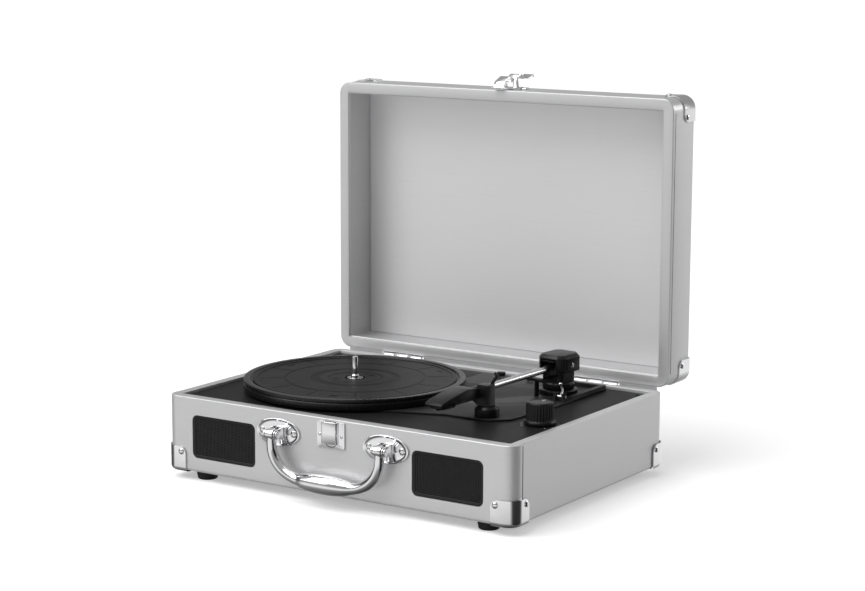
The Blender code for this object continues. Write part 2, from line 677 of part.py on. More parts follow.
def deck():
    """The black deck on its ledge, cut away under the mechanism plate and for the knob."""
    inset = WALL + GAP
    loops = [case_loop(inset, DECK_LOW), case_loop(inset, DECK_TOP)]
    plate = loft("deck_plate", loops, datum, DECK)
    for name, radius, place in (
            ("well", MOTOR_DISTANCE + MOTOR_RADIUS + 0.001, PLATTER),
            ("shaft_room", TURRET_SHAFT + 0.002, ARM),
            ("knob_room", KNOB_STEM_RADIUS + 0.001, KNOB),
            ("piston_room", 0.003, piston_place())):
        carve(plate, rod(name, radius, DECK_LOW - THROUGH, DECK_TOP + THROUGH, 24,
                         (place.x, place.y, 0), datum))


def piston_place():
    turn = math.radians(248)
    return ARM + CUE_RADIUS * Vector((math.cos(turn), math.sin(turn), 0))


def mechanism_plate():
    """The plate that carries platter, motor and arm, with a raised lip and the cue's ears."""
    ring = PLATTER_RADIUS - 0.0045
    outline = []
    for k in range(25):
        turn = math.radians(50 + 265 * k / 24)
        outline.append((PLATTER.x + ring * math.cos(turn), PLATTER.y + ring * math.sin(turn)))
    right = ARM.x + 0.027
    back = INNER_Y - 0.0055
    outline += [(ARM.x - 0.034, ARM.y - 0.128), (ARM.x + 0.008, ARM.y - 0.128),
                (ARM.x + 0.021, ARM.y - 0.114), (right, ARM.y - 0.050), (right, back),
                (PLATTER.x + 0.060, back)]
    plate = slab("mechanism_plate", outline, PLATE_LOW, PLATE_TOP, datum, PLATE)
    lip = PLATE_TOP + PLATE_LIP_HEIGHT
    w = PLATE_LIP_WIDTH
    corner = [(right - w, ARM.y - 0.020), (right - 0.0002, ARM.y - 0.020),
              (right - 0.0002, back - 0.0002), (ARM.x - 0.016, back - 0.0002),
              (ARM.x - 0.016, back - w), (right - w, back - w)]
    carve(plate, slab("lip", corner, PLATE_TOP - 0.0006, lip, datum), "UNION")
    for end in (-1, 1):
        a, b = sorted((CUE.x + end * 0.0030, CUE.x + end * 0.0050))
        carve(plate, block("cue_ear", (a, CUE.y - 0.003, PLATE_TOP - 0.0006),
                           (b, CUE.y + 0.003, CUE.z + 0.003), datum), "UNION")
    carve(plate, rod("cue_bore", 0.0015 + RUN, -0.008, 0.008, 12, tuple(CUE), datum, along="x"))
    for name, radius, place in (
            ("spindle_hole", SPINDLE_RADIUS + GAP, PLATTER),
            ("pulley_hole", 0.004, PULLEY),
            ("turret_hole", TURRET_SHAFT + 0.0005, ARM),
            ("piston_hole", 0.0024, piston_place())):
        carve(plate, rod(name, radius, PLATE_LOW - THROUGH, PLATE_TOP + THROUGH, 16,
                         (place.x, place.y, 0), datum))


def drive():
    """Motor, pulley and belt under the platter."""
    top = PLATE_LOW - GAP
    stem = 0.0015
    bore = stem + RUN
    low = top - MOTOR_HEIGHT
    profile = [(0, low), (MOTOR_RADIUS, low), (MOTOR_RADIUS, top - 0.001),
               (MOTOR_RADIUS - 0.001, top), (bore, top), (bore, top - 0.007), (0, top - 0.007)]
    turned("motor", profile, 20, (PULLEY.x, PULLEY.y, 0), datum, STEEL)
    belt_low = PLATE_TOP + 0.0016
    belt_high = belt_low + BELT_WIDTH
    flange = PULLEY_RADIUS + 0.001
    r = PULLEY_RADIUS
    profile = [(0, top - 0.006), (stem, top - 0.006), (stem, PLATE_TOP + GAP),
               (flange, PLATE_TOP + GAP), (flange, belt_low - 0.0004), (r, belt_low - GAP),
               (r, belt_high + GAP), (flange, belt_high + 0.0004), (flange, belt_high + 0.001),
               (0, belt_high + 0.001)]
    turned("motor_pulley", profile, 16, (PULLEY.x, PULLEY.y, 0), pulley_axis, BRASS)

    big = RIM_DRIVE_RADIUS + GAP
    small = PULLEY_RADIUS + GAP
    lean = math.acos((big - small) / MOTOR_DISTANCE)
    heading = math.radians(MOTOR_ANGLE)

    def band(grow):
        points = []
        for k in range(25):
            turn = heading + lean + (2 * math.pi - 2 * lean) * k / 24
            points.append((PLATTER.x + (big + grow) * math.cos(turn),
                           PLATTER.y + (big + grow) * math.sin(turn)))
        for k in range(7):
            turn = heading - lean + 2 * lean * k / 6
            points.append((PULLEY.x + (small + grow) * math.cos(turn),
                           PULLEY.y + (small + grow) * math.sin(turn)))
        return points

    loops = [[(x, y, z) for x, y in band(grow)] for grow, z in
             ((0, belt_low), (BELT_SHEET, belt_low), (BELT_SHEET, belt_high), (0, belt_high))]
    loft("drive_belt", loops, datum, RUBBER, ring=True)


def platter():
    """Platter with a drive rim below, a rubber mat on it, a bush in its hub and the spindle."""
    bore = SPINDLE_RADIUS + GAP + BUSH_WALL + GAP
    hub = bore + 0.0038
    seat_edge = PLATTER_RADIUS - 0.007
    skirt = PLATTER_RADIUS - SKIRT_WALL
    drive_in = RIM_DRIVE_RADIUS - 0.003
    thrust = PLATE_TOP + GAP + 0.001
    profile = [(bore, thrust + GAP), (hub, thrust + GAP), (hub, DISC_LOW), (drive_in, DISC_LOW),
               (drive_in, PLATE_TOP + 0.001), (RIM_DRIVE_RADIUS, PLATE_TOP + 0.001),
               (RIM_DRIVE_RADIUS, DISC_LOW), (skirt, DISC_LOW), (skirt, SKIRT_LOW),
               (PLATTER_RADIUS, SKIRT_LOW), (PLATTER_RADIUS, PLATTER_TOP - 0.0012),
               (PLATTER_RADIUS - 0.0016, PLATTER_TOP), (seat_edge + 0.0012, PLATTER_TOP),
               (seat_edge, SEAT), (bore, SEAT)]
    centre = (PLATTER.x, PLATTER.y, 0)
    turned("platter", profile, 40, centre, platter_axis, BLACK)
    edge = seat_edge - 0.001
    low = SEAT + GAP
    profile = [(0.009, low), (edge, low), (edge, MAT_TOP - 0.0003), (edge - 0.0005, MAT_TOP),
               (LABEL_RADIUS, MAT_TOP), (LABEL_RADIUS - 0.0015, MAT_TOP - MAT_STEP),
               (0.009, MAT_TOP - MAT_STEP)]
    turned("platter_mat", profile, 36, centre, platter_axis, MAT)
    inner = SPINDLE_RADIUS + RUN
    outer = bore - GAP
    profile = [(inner, thrust + GAP), (outer, thrust + GAP), (outer, SEAT + 0.0008),
               (inner, SEAT + 0.0008)]
    turned("platter_bush", profile, 16, centre, platter_axis, BRASS)
    tip = PLATTER_TOP + SPINDLE_RISE
    r = SPINDLE_RADIUS
    under = PLATE_LOW - GAP
    profile = [(0, under - 0.009), (r, under - 0.009), (r, under - 0.003), (0.007, under - 0.003),
               (0.007, under), (r, under), (r, PLATE_TOP + GAP), (0.008, PLATE_TOP + GAP),
               (0.008, thrust), (r, thrust), (r, tip - 0.0034), (r * 0.72, tip - 0.0011),
               (r * 0.34, tip), (0, tip)]
    turned("spindle", profile, 12, centre, datum, CHROME)


# ---------------------------------------------------------------------- the tone arm

def arm_mount():
    """Fixed collar, then the turret with the yoke that carries the arm between its cheeks."""
    shaft = TURRET_SHAFT
    low = PLATE_TOP + GAP
    top = low + COLLAR_HEIGHT
    profile = [(shaft + RUN, low), (COLLAR_RADIUS, low), (COLLAR_RADIUS, top - 0.001),
               (COLLAR_RADIUS - 0.001, top), (shaft + RUN, top)]
    turned("arm_collar", profile, 24, tuple(ARM), datum, BLACK)

    disc = top + GAP
    disc_top = disc + TURRET_HEIGHT
    profile = [(0, DECK_LOW - 0.008), (shaft, DECK_LOW - 0.008), (shaft, disc),
               (TURRET_RADIUS, disc), (TURRET_RADIUS, disc_top - 0.001),
               (TURRET_RADIUS - 0.001, disc_top), (0, disc_top)]
    yoke = turned("arm_yoke", profile, 24, tuple(ARM), swing_axis, BLACK)
    neck = YOKE_WIDTH / 2 - 0.003
    block_low = LIFT.z - 0.004
    carve(yoke, block("yoke_neck", (ARM.x - neck, ARM.y - 0.011, disc_top - 0.002),
                      (ARM.x + neck, ARM.y + 0.011, block_low + 0.001), swing_axis), "UNION")
    w, f, b = YOKE_WIDTH / 2, YOKE_FRONT, YOKE_BACK
    outline = [(-w, -f + 0.006), (-w + 0.006, -f), (w - 0.004, -f), (w, -f + 0.004),
               (w, b - 0.005), (w - 0.005, b), (-w + 0.005, b), (-w, b - 0.005)]
    housing = slab("yoke_block", moved(outline, ARM.x, ARM.y), block_low, LIFT.z + YOKE_TOP,
                   swing_axis)
    soften(housing, 0.001, 2)
    carve(yoke, housing, "UNION")
    half = YOKE_CHANNEL / 2
    carve(yoke, block("yoke_channel", (ARM.x - half, ARM.y - 0.025, LIFT.z - 0.011),
                      (ARM.x + half, ARM.y + 0.025, LIFT.z + YOKE_TOP - 0.004), swing_axis))
    carve(yoke, rod("pivot_bore", 0.002 + RUN, -0.0125, 0.0125, 14, tuple(LIFT), swing_axis,
                    along="x"))


def arm_height(along):
    return LIFT.z - ARM_DROOP * along


def tonearm():
    """The tube on its cross pin, counterweight behind, headshell, cartridge and stylus ahead."""
    back = 0.008
    r = ARM_TUBE_RADIUS
    ends = [((ARM.x, ARM.y + back, arm_height(-back)), 1),
            ((ARM.x, ARM.y - ARM_TUBE_LENGTH, arm_height(ARM_TUBE_LENGTH)), 1)]
    arm = tube("arm_tube", ends, r, lift_axis, STEEL, 4)
    carve(arm, rod("cross_pin", 0.002, -0.012, 0.012, 14, tuple(LIFT), lift_axis, along="x"),
          "UNION")
    start = back + GAP
    cw = COUNTERWEIGHT_RADIUS
    profile = [(0, start), (cw - 0.0006, start), (cw, start + 0.0006),
               (cw, start + COUNTERWEIGHT_LENGTH - 0.001),
               (cw - 0.001, start + COUNTERWEIGHT_LENGTH), (0, start + COUNTERWEIGHT_LENGTH)]
    turned("counterweight", profile, 18, (ARM.x, ARM.y, LIFT.z + 0.0002), lift_axis, BLACK, "y")

    rear = ARM_TUBE_LENGTH - 0.004
    tip = rear + HEAD_LENGTH
    floor = MAT_TOP + 0.006
    side = [(rear, floor + 0.0005), (rear + 0.020, floor), (tip - 0.001, floor),
            (tip, floor + 0.0012), (tip - 0.001, floor + 0.0032),
            (tip - 0.012, floor + 0.0062), (rear + 0.016, floor + 0.0105),
            (rear + 0.006, floor + 0.0100), (rear, floor + 0.0085)]
    outline = [(ARM.y - along, height) for along, height in side]
    half = HEAD_WIDTH / 2
    head = slab("headshell", outline, ARM.x - half, ARM.x + half, lift_axis, BLACK, "yz")
    carve(head, block("head_pocket", (ARM.x - half + 0.0016, ARM.y - tip + 0.0024,
                                      floor - THROUGH),
                      (ARM.x + half - 0.0016, ARM.y - tip + 0.0264, floor + 0.0021), lift_axis))
    socket = [((ARM.x, ARM.y - rear + THROUGH, arm_height(rear - THROUGH)), 1),
              ((ARM.x, ARM.y - ARM_TUBE_LENGTH - GAP, arm_height(ARM_TUBE_LENGTH + GAP)), 1)]
    carve(head, tube("tube_socket", socket, r + GAP, lift_axis, resolution=4))

    front = tip - 0.0040
    body_low = floor - 0.0028
    cartridge = [(front, floor + 0.0018), (front, body_low + 0.001), (front - 0.002, body_low),
                 (front - 0.017, body_low), (front - 0.018, body_low + 0.001),
                 (front - 0.018, floor + 0.0018)]
    outline = [(ARM.y - along, height) for along, height in cartridge]
    slab("cartridge", outline, ARM.x - 0.006, ARM.x + 0.006, lift_axis, BLACK, "yz")
    needle = body_low - GAP
    stylus = [(front - 0.011, needle), (front - 0.001, needle), (front - 0.0022, needle - 0.001),
              (front - 0.0036, needle - 0.001), (front - 0.009, needle - 0.0005)]
    outline = [(ARM.y - along, height) for along, height in stylus]
    slab("stylus", outline, ARM.x - 0.0015, ARM.x + 0.0015, lift_axis, STEEL, "yz")


def arm_rest():
    """Post with a saddle under the tube and a hooked clip that swings over it."""
    x, y = ARM.x + REST_ASIDE, ARM.y - REST_ALONG
    low = PLATE_TOP + GAP
    base_top = low + REST_BASE_HEIGHT
    r = REST_BASE_RADIUS
    profile = [(0, low), (r, low), (r, base_top - 0.002), (r - 0.0015, base_top), (0, base_top)]
    rest = turned("arm_rest", profile, 20, (x, y, 0), arm_line, BLACK)
    tube_low = arm_height(REST_ALONG + REST_POST / 2) - ARM_TUBE_RADIUS
    left = ARM.x + ARM_TUBE_RADIUS + 0.001
    half = REST_POST / 2
    top = arm_height(REST_ALONG) + 0.0065
    carve(rest, block("rest_post", (left, y - half, base_top - 0.001),
                      (left + REST_POST + 0.001, y + half, top), arm_line), "UNION")
    saddle = [(left + 0.001, tube_low - 0.0095), (left + 0.001, tube_low - GAP),
              (ARM.x - 0.0055, tube_low - GAP), (ARM.x - 0.0055, tube_low - 0.003)]
    carve(rest, slab("saddle", saddle, y - half + 0.001, y + half - 0.001, arm_line,
                     plane="xz"), "UNION")
    pin = (ARM.x + CLIP_PIN.x, 0, CLIP_PIN.z)
    carve(rest, rod("clip_pin", 0.0012, y + half - 0.001, y + half + GAP + CLIP_SHEET + 0.0008, 12,
                    pin, arm_line, along="y"), "UNION")

    lean = math.radians(35)
    reach = Vector((math.sin(lean), math.cos(lean)))
    side = Vector((-reach.y, reach.x))
    hub = Vector((pin[0], pin[2]))
    end = hub + reach * CLIP_REACH
    w = 0.0011
    hook = [hub - reach * 0.002 - side * w, end - side * w, end + side * 0.0032,
            end - reach * 0.0016 + side * 0.0032, end - reach * 0.0020 + side * w,
            hub - reach * 0.002 + side * w]
    clip = slab("arm_clip", [tuple(p) for p in hook], y + half + GAP,
                y + half + GAP + CLIP_SHEET, clip_axis, BLACK, "xz")
    fall = Vector((0.16, -1)).normalized()
    out = Vector((-fall.y, fall.x))
    tail = [hub + out * 0.0018, hub - out * 0.0018, hub + fall * CLIP_TAIL - out * 0.0009,
            hub + fall * CLIP_TAIL + out * 0.0009]
    carve(clip, slab("clip_tail", [tuple(p) for p in tail], y + half + GAP + 0.0002,
                     y + half + GAP + CLIP_SHEET - 0.0002, clip_axis, plane="xz"), "UNION")
    carve(clip, rod("clip_boss", 0.0027, y + half + GAP, y + half + GAP + CLIP_SHEET, 16, pin,
                    clip_axis, along="y"), "UNION")
    carve(clip, rod("clip_bore", 0.0012 + RUN, y, y + half + 0.008, 12, pin, clip_axis,
                    along="y"))


def cue():
    """The cue platform, an arc of bar on a piston, and the bent lever that raises it."""
    up_top = arm_height(CUE_RADIUS + 0.0025) - ARM_TUBE_RADIUS - GAP
    top = up_top - CUE_TRAVEL
    arc = []
    for edge, turns in ((CUE_RADIUS + 0.0025, range(9)), (CUE_RADIUS - 0.0025, range(8, -1, -1))):
        for k in turns:
            turn = math.radians(221 + 52 * k / 8)
            arc.append((ARM.x + edge * math.cos(turn), ARM.y + edge * math.sin(turn)))
    bar = slab("cue_platform", arc, top - 0.0026, top, datum, BLACK)
    place = piston_place()
    carve(bar, rod("cue_piston", 0.002, DECK_LOW - 0.010, top - 0.001, 14,
                   (place.x, place.y, 0), datum), "UNION")

    knots = [((CUE.x, CUE.y, CUE.z), 1), ((CUE.x - 0.001, CUE.y + 0.006, CUE.z + 0.0035), 1),
             ((CUE.x - 0.005, CUE.y + 0.011, CUE.z + 0.0060), 1),
             ((CUE.x - 0.009, CUE.y + 0.016, CUE.z + 0.0070), 1.5)]
    lever = rod("cue_lever", 0.0015, -0.0058, 0.0058, 14, tuple(CUE), cue_axis, STEEL, "x")
    carve(lever, tube("cue_wire", smooth_route(knots, 8), 0.0010, cue_axis, resolution=2),
          "UNION")


# --------------------------------------------------------------- controls and sockets

def controls():
    """Volume knob on its potentiometer, and the two slide switches behind the platter."""
    low = DECK_TOP + GAP + 0.0004
    top = DECK_TOP + KNOB_HEIGHT + 0.0005
    ribs = 15
    stem_low = DECK_LOW - 0.007

    def loop(radius, height, flute):
        points = []
        for k in range(ribs * 2):
            r = radius - (flute if k % 2 else 0)
            turn = math.pi * k / ribs
            points.append((KNOB.x + r * math.cos(turn), KNOB.y + r * math.sin(turn), height))
        return points

    stem = KNOB_STEM_RADIUS
    r = KNOB_RADIUS
    loops = [loop(stem, stem_low, 0), loop(stem, low, 0), loop(r + 0.0012, low, 0),
             loop(r + 0.0012, low + 0.0026, 0), loop(r, low + 0.0034, 0.0007),
             loop(r - 0.0004, top - 0.0012, 0.0007), loop(r - 0.0016, top, 0)]
    loft("volume_knob", loops, knob_axis, BLACK)
    pot_top = DECK_LOW - GAP
    bore = stem + RUN
    profile = [(0, pot_top - 0.012), (0.0085, pot_top - 0.012), (0.0085, pot_top),
               (bore, pot_top), (bore, pot_top - 0.0075), (0, pot_top - 0.0075)]
    turned("potentiometer", profile, 16, (KNOB.x, KNOB.y, 0), datum, STEEL)
    y = INNER_Y - 0.0125
    for name, x, length in (("speed_switch", PLATTER.x + 0.082, 0.007),
                            ("autostop_switch", PLATTER.x + 0.112, 0.006)):
        block(name, (x - length / 2, y - 0.0022, PLATE_TOP + GAP),
              (x + length / 2, y + 0.0022, PLATE_TOP + 0.0042), datum, BLACK, 0.0006)


def sockets():
    """A plate over the back window with its sockets, and the circuit board inside."""
    z = UNDERSIDE + SPEAKER_Z
    face = HALF_DEPTH + GAP
    outline = moved(rounded_rect(JACK_PANEL_WIDTH, JACK_PANEL_HEIGHT, 0.003, 3), -JACK_PANEL_X, z)
    panel = slab("socket_panel", outline, face, face + JACK_PANEL_SHEET, datum, BLACK, "xz")
    out = face + JACK_PANEL_SHEET
    names = ("line_out_left", "line_out_right", "headphone_socket", "power_socket")
    for n, name in enumerate(names):
        x = -JACK_PANEL_X + (n - 1.5) * JACK_PITCH
        if name.startswith("line"):
            body, flange, pin, reach, metal = 0.0032, 0.0052, 0.0016, 0.0085, BRASS
        elif name == "power_socket":
            body, flange, pin, reach, metal = 0.0044, 0.0058, 0.0032, 0.0022, BLACK
        else:
            body, flange, pin, reach, metal = 0.0035, 0.0046, 0.0018, 0.0020, STEEL
        profile = [(0, -0.010), (body, -0.010), (body, JACK_PANEL_SHEET + GAP),
                   (flange, JACK_PANEL_SHEET + GAP), (flange, JACK_PANEL_SHEET + GAP + 0.0012),
                   (body + 0.0009, JACK_PANEL_SHEET + GAP + 0.0014),
                   (body + 0.0009, JACK_PANEL_SHEET + reach), (pin, JACK_PANEL_SHEET + reach),
                   (pin, -0.007), (0, -0.007)]
        turned(name, profile, 14, (x, face, z), datum, metal, "y")
        carve(panel, rod("socket_hole", body + GAP, face - THROUGH, out + THROUGH, 14,
                         (x, 0, z), datum, along="y"))
    left, right = INNER_X - 0.110, INNER_X - 0.020
    block("circuit_board", (left, -0.030, UNDERSIDE + PANEL + 0.006),
          (right, 0.045, UNDERSIDE + PANEL + 0.0076), datum, CIRCUIT)


base_shell()
base_bottom()
feet()
guards("base", datum, UNDERSIDE, 1)
lid()
guards("lid", lid_axis, LID_TOP, -1)
hinges()
handle()
keeper()
latch()
speakers()
deck()
mechanism_plate()
drive()
platter()
arm_mount()
tonearm()
arm_rest()
cue()
controls()
sockets()
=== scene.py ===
"""Suitcase record player: the finished look of every piece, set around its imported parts.

Metres, +Z up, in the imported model's own frame. Sections follow the player as it is put together:
the case, the works, the arm, the controls, the fittings, the lid, and last the studio.
"""
import json
import math

import bmesh
import bpy
import numpy as np
from mathutils import Matrix, Vector


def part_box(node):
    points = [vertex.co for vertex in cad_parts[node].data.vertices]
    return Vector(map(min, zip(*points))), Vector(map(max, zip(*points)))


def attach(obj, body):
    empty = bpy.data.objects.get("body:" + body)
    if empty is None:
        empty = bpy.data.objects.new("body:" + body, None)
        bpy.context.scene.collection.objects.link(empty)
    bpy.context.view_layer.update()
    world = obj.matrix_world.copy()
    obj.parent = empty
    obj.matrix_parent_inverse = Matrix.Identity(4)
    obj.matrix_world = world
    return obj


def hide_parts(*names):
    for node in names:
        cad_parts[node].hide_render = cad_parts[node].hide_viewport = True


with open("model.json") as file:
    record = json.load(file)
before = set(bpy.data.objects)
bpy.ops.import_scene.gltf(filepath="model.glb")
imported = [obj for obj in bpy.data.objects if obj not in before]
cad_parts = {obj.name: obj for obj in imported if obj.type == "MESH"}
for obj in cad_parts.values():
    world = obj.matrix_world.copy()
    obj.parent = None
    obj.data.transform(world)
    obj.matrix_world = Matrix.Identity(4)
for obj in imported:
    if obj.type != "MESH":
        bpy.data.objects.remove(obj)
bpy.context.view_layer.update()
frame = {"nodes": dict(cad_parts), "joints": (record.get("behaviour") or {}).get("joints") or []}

# ------------------------------------------------------------------------- base case
# Four wooden walls with rounded upright corners, wrapped in silver leathercloth. The front
# wall's cloth laps round both front corners and ends in a seam on each side wall.


class Wire:
    """A shader value: arithmetic on it adds the Math nodes that work it out."""

    def __init__(self, tree, socket):
        self.tree = tree
        self.socket = socket

    def math(self, operation, *values):
        node = self.tree.nodes.new("ShaderNodeMath")
        node.operation = operation
        for slot, value in zip(node.inputs, values):
            if isinstance(value, Wire):
                self.tree.links.new(value.socket, slot)
            else:
                slot.default_value = value
        return Wire(self.tree, node.outputs[0])

    def __add__(self, other):
        return self.math("ADD", self, other)

    def __radd__(self, other):
        return self.math("ADD", other, self)

    def __sub__(self, other):
        return self.math("SUBTRACT", self, other)

    def __rsub__(self, other):
        return self.math("SUBTRACT", other, self)

    def __mul__(self, other):
        return self.math("MULTIPLY", self, other)

    def __rmul__(self, other):
        return self.math("MULTIPLY", other, self)

    def __abs__(self):
        return self.math("ABSOLUTE", self)

    def __gt__(self, other):
        return self.math("GREATER_THAN", self, other)

    def __lt__(self, other):
        return self.math("LESS_THAN", self, other)


def add_node(tree, kind, settings, inputs, output=0):
    """Add a node: its settings first, then the values or wires of its sockets."""
    node = tree.nodes.new("ShaderNode" + kind)
    for key, value in settings.items():
        if key == "stops":
            ramp = node.color_ramp.elements
            ramp[0].position, ramp[-1].position = value[0][0], value[-1][0]
            for place, grey in value[1:-1]:
                ramp.new(place)
            for element, (place, grey) in zip(ramp, value):
                element.color = (grey, grey, grey, 1)
        else:
            setattr(node, key, value)
    for key, value in inputs.items():
        if isinstance(value, Wire):
            tree.links.new(value.socket, node.inputs[key])
        else:
            node.inputs[key].default_value = value
    return Wire(tree, node.outputs[output])


class Finish:
    """One surface finish: a Principled shader with plain settings and wires where it varies. The slot
    it is given is not used."""

    def __init__(self, name, settings, slot=""):
        self.slot = slot
        self.material = bpy.data.materials.new(name)
        self.material.use_nodes = True
        self.tree = self.material.node_tree
        self.shader = self.tree.nodes["Principled BSDF"]
        for key, value in settings.items():
            self.shader.inputs[key].default_value = value

    def node(self, kind, settings, inputs, output=0):
        return add_node(self.tree, kind, settings, inputs, output)

    def spot(self):
        """The point on the piece, in metres."""
        return self.node("TexCoord", {}, {}, 3)

    def noise(self, scale, detail=3.0):
        """Even noise from 0 to 1, with its own scale along X, Y and Z."""
        stretched = self.node("Mapping", {}, {"Vector": self.spot(), "Scale": scale})
        return self.node("TexNoise", {}, {"Vector": stretched, "Scale": 1.0, "Detail": detail})

    def tint(self, mask, low, high):
        """Colour from one grey to another as the mask goes from 0 to 1."""
        ends = {0: mask, 6: (low, low, low * 1.01, 1), 7: (high, high, high * 1.01, 1)}
        self.use("Base Color", self.node("Mix", {"data_type": "RGBA"}, ends, 2))

    def surface(self, tint, rough, relief):
        """Tint, roughness and relief, each (noise scale, detail, and two amounts)."""
        scale, detail, low, high = tint
        self.tint(self.noise((scale,) * 3, detail), low, high)
        scale, detail, least, span = rough
        self.use("Roughness", least + self.noise((scale,) * 3, detail) * span)
        scale, detail, strength, distance = relief
        self.relief(self.noise((scale,) * 3, detail), strength, distance)

    def relief(self, height, strength, distance):
        """Raise the surface by a height from 0 to 1, times a distance."""
        bump = {"Height": height, "Strength": strength, "Distance": distance}
        self.use("Normal", self.node("Bump", {}, bump))

    def use(self, key, wire):
        """Feed one of the shader's sockets from a wire."""
        self.tree.links.new(wire.socket, self.shader.inputs[key])


def leathercloth(name, low, high):
    """Satin silver vinyl with a cloth's uneven threads, level on the walls and along X on top."""
    cloth = Finish(name, {"Metallic": 0.58, "Specular IOR Level": 0.4, "Coat Weight": 0.12,
                          "Coat Roughness": 0.3}, "silver_vinyl")
    normal = cloth.node("TexCoord", {}, {}, 1)
    level = abs(cloth.node("SeparateXYZ", {}, {"Vector": normal}, 2)) > 0.7
    wall_thread = cloth.noise((26, 26, 1300), 4.0)
    top_thread = cloth.noise((26, 1300, 26), 4.0)
    thread = wall_thread * (1 - level) + top_thread * level
    patch = cloth.noise((9, 9, 30), 2.0)
    fine = cloth.noise((2400, 2400, 2400), 2.0)
    cloth.tint(thread * 0.75 + patch * 0.25, low, high)
    cloth.use("Roughness", 0.33 + thread * 0.12 + fine * 0.06)
    cloth.relief(thread * 0.8 + fine * 0.2, 0.12, 0.0004)
    return cloth


def quarter(start, end, across, steps=5):
    """Points of a quarter turn from start to end, leaving start along the axis named across:
    the sine of the angle on that axis, and 1 less its cosine on the other."""
    turn = np.linspace(0, np.pi / 2, steps + 1)
    rise, run = np.sin(turn), 1 - np.cos(turn)
    share = (rise, run) if across == 0 else (run, rise)
    return [(start[0] + (end[0] - start[0]) * a, start[1] + (end[1] - start[1]) * b)
            for a, b in zip(*share)]


def skin(grid, round_rows=False, round_columns=True, caps=""):
    """A mesh over rows and columns of points, wrapped round or capped where it is asked to be."""
    rows, columns = grid.shape[:2]
    index = np.arange(rows * columns).reshape(rows, columns)
    ring = np.vstack([index, index[:1]]) if round_rows else index
    ring = np.hstack([ring, ring[:, :1]]) if round_columns else ring
    quads = np.stack([ring[:-1, :-1], ring[:-1, 1:], ring[1:, 1:], ring[1:, :-1]], -1)
    faces = quads.reshape(-1, 4).tolist()
    if "rows" in caps:
        faces += [index[0].tolist(), index[-1].tolist()]
    if "columns" in caps:
        faces += [index[:, 0].tolist(), index[:, -1].tolist()]
    mesh = bpy.data.meshes.new("skin")
    mesh.from_pydata(grid.reshape(-1, 3).tolist(), [], faces)
    return faced(mesh)


def faced(mesh):
    """Merge a mesh's doubled points and turn its faces outwards."""
    bm = bmesh.new()
    bm.from_mesh(mesh)
    bmesh.ops.remove_doubles(bm, verts=bm.verts, dist=1e-6)
    bmesh.ops.dissolve_degenerate(bm, edges=bm.edges, dist=1e-7)
    bmesh.ops.recalc_face_normals(bm, faces=bm.faces)
    bm.to_mesh(mesh)
    bm.free()
    return mesh


show = bpy.context.scene.collection.objects.link


def evaluated(mesh, kind, **settings):
    """The mesh that one modifier makes of this one."""
    holder = bpy.data.objects.new("holder", mesh)
    show(holder)
    modifier = holder.modifiers.new("step", kind)
    for key, value in settings.items():
        setattr(modifier, key, value)
    depsgraph = bpy.context.evaluated_depsgraph_get()
    made = bpy.data.meshes.new_from_object(holder.evaluated_get(depsgraph))
    bpy.data.objects.remove(holder)
    return made


def carved(mesh, tool, operation="DIFFERENCE"):
    """Cut this mesh with a tool, or keep only what the tool holds."""
    cutter = bpy.data.objects.new("cutter", tool)
    show(cutter)
    made = evaluated(mesh, "BOOLEAN", operation=operation, object=cutter)
    bpy.data.objects.remove(cutter)
    return made


def piece(name, shells, finish, body, *stands_for, slot="", sharp=32):
    """Join meshes into one named piece with its finish, and hang it on its body."""
    joined = bmesh.new()
    for shell in shells:
        joined.from_mesh(shell)
    mesh = bpy.data.meshes.new(name)
    joined.to_mesh(mesh)
    joined.free()
    mesh.materials.clear()
    mesh.materials.append(finish.material)
    mesh.polygons.foreach_set("material_index", np.zeros(len(mesh.polygons), np.int32))
    mesh.shade_smooth()
    mesh.set_sharp_from_angle(angle=math.radians(sharp))
    made = bpy.data.objects.new(name, mesh)
    show(made)
    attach(made, body)
    if stands_for:
        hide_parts(*stands_for)
    return made


def rounded_rect(width, depth, radius, steps=6):
    """Closed outline of a rectangle with quarter-circle corners, centred, as pairs."""
    turn = np.concatenate([np.linspace(q, q + 1, steps + 1) for q in range(4)]) * np.pi / 2
    side_x = np.repeat([1, -1, -1, 1], steps + 1)
    side_y = np.repeat([1, 1, -1, -1], steps + 1)
    return np.stack([side_x * (width / 2 - radius) + radius * np.cos(turn),
                     side_y * (depth / 2 - radius) + radius * np.sin(turn)], -1)


def pushed(outline, low, high, plane="xy"):
    """A solid from a flat outline between two levels; the plane names the outline's axes."""
    outline = np.asarray(outline, float)
    order = {"xy": (0, 1, 2), "xz": (0, 2, 1), "yz": (2, 0, 1)}[plane]
    grid = np.zeros((2, len(outline), 3))
    grid[..., :2] = outline
    grid[0, :, 2] = low
    grid[1, :, 2] = high
    return skin(grid[..., order], caps="rows")


def shifted(outline, dx, dy):
    """An outline with every pair moved by the same step."""
    return np.asarray(outline, float) + (dx, dy)


base_low, base_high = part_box("base_shell")
deck_low, deck_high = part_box("deck_plate")
gap = 0.0003
corner_radius = 0.011
edge_radius = 0.003
rim_radius = 0.0012
wall = base_high.x - deck_high.x - gap
ledge = 0.005
middle_y = (base_low.y + base_high.y) / 2
half_x = (base_high.x - base_low.x) / 2
half_y = (base_high.y - base_low.y) / 2
seam_y = base_low.y + corner_radius + 0.0015


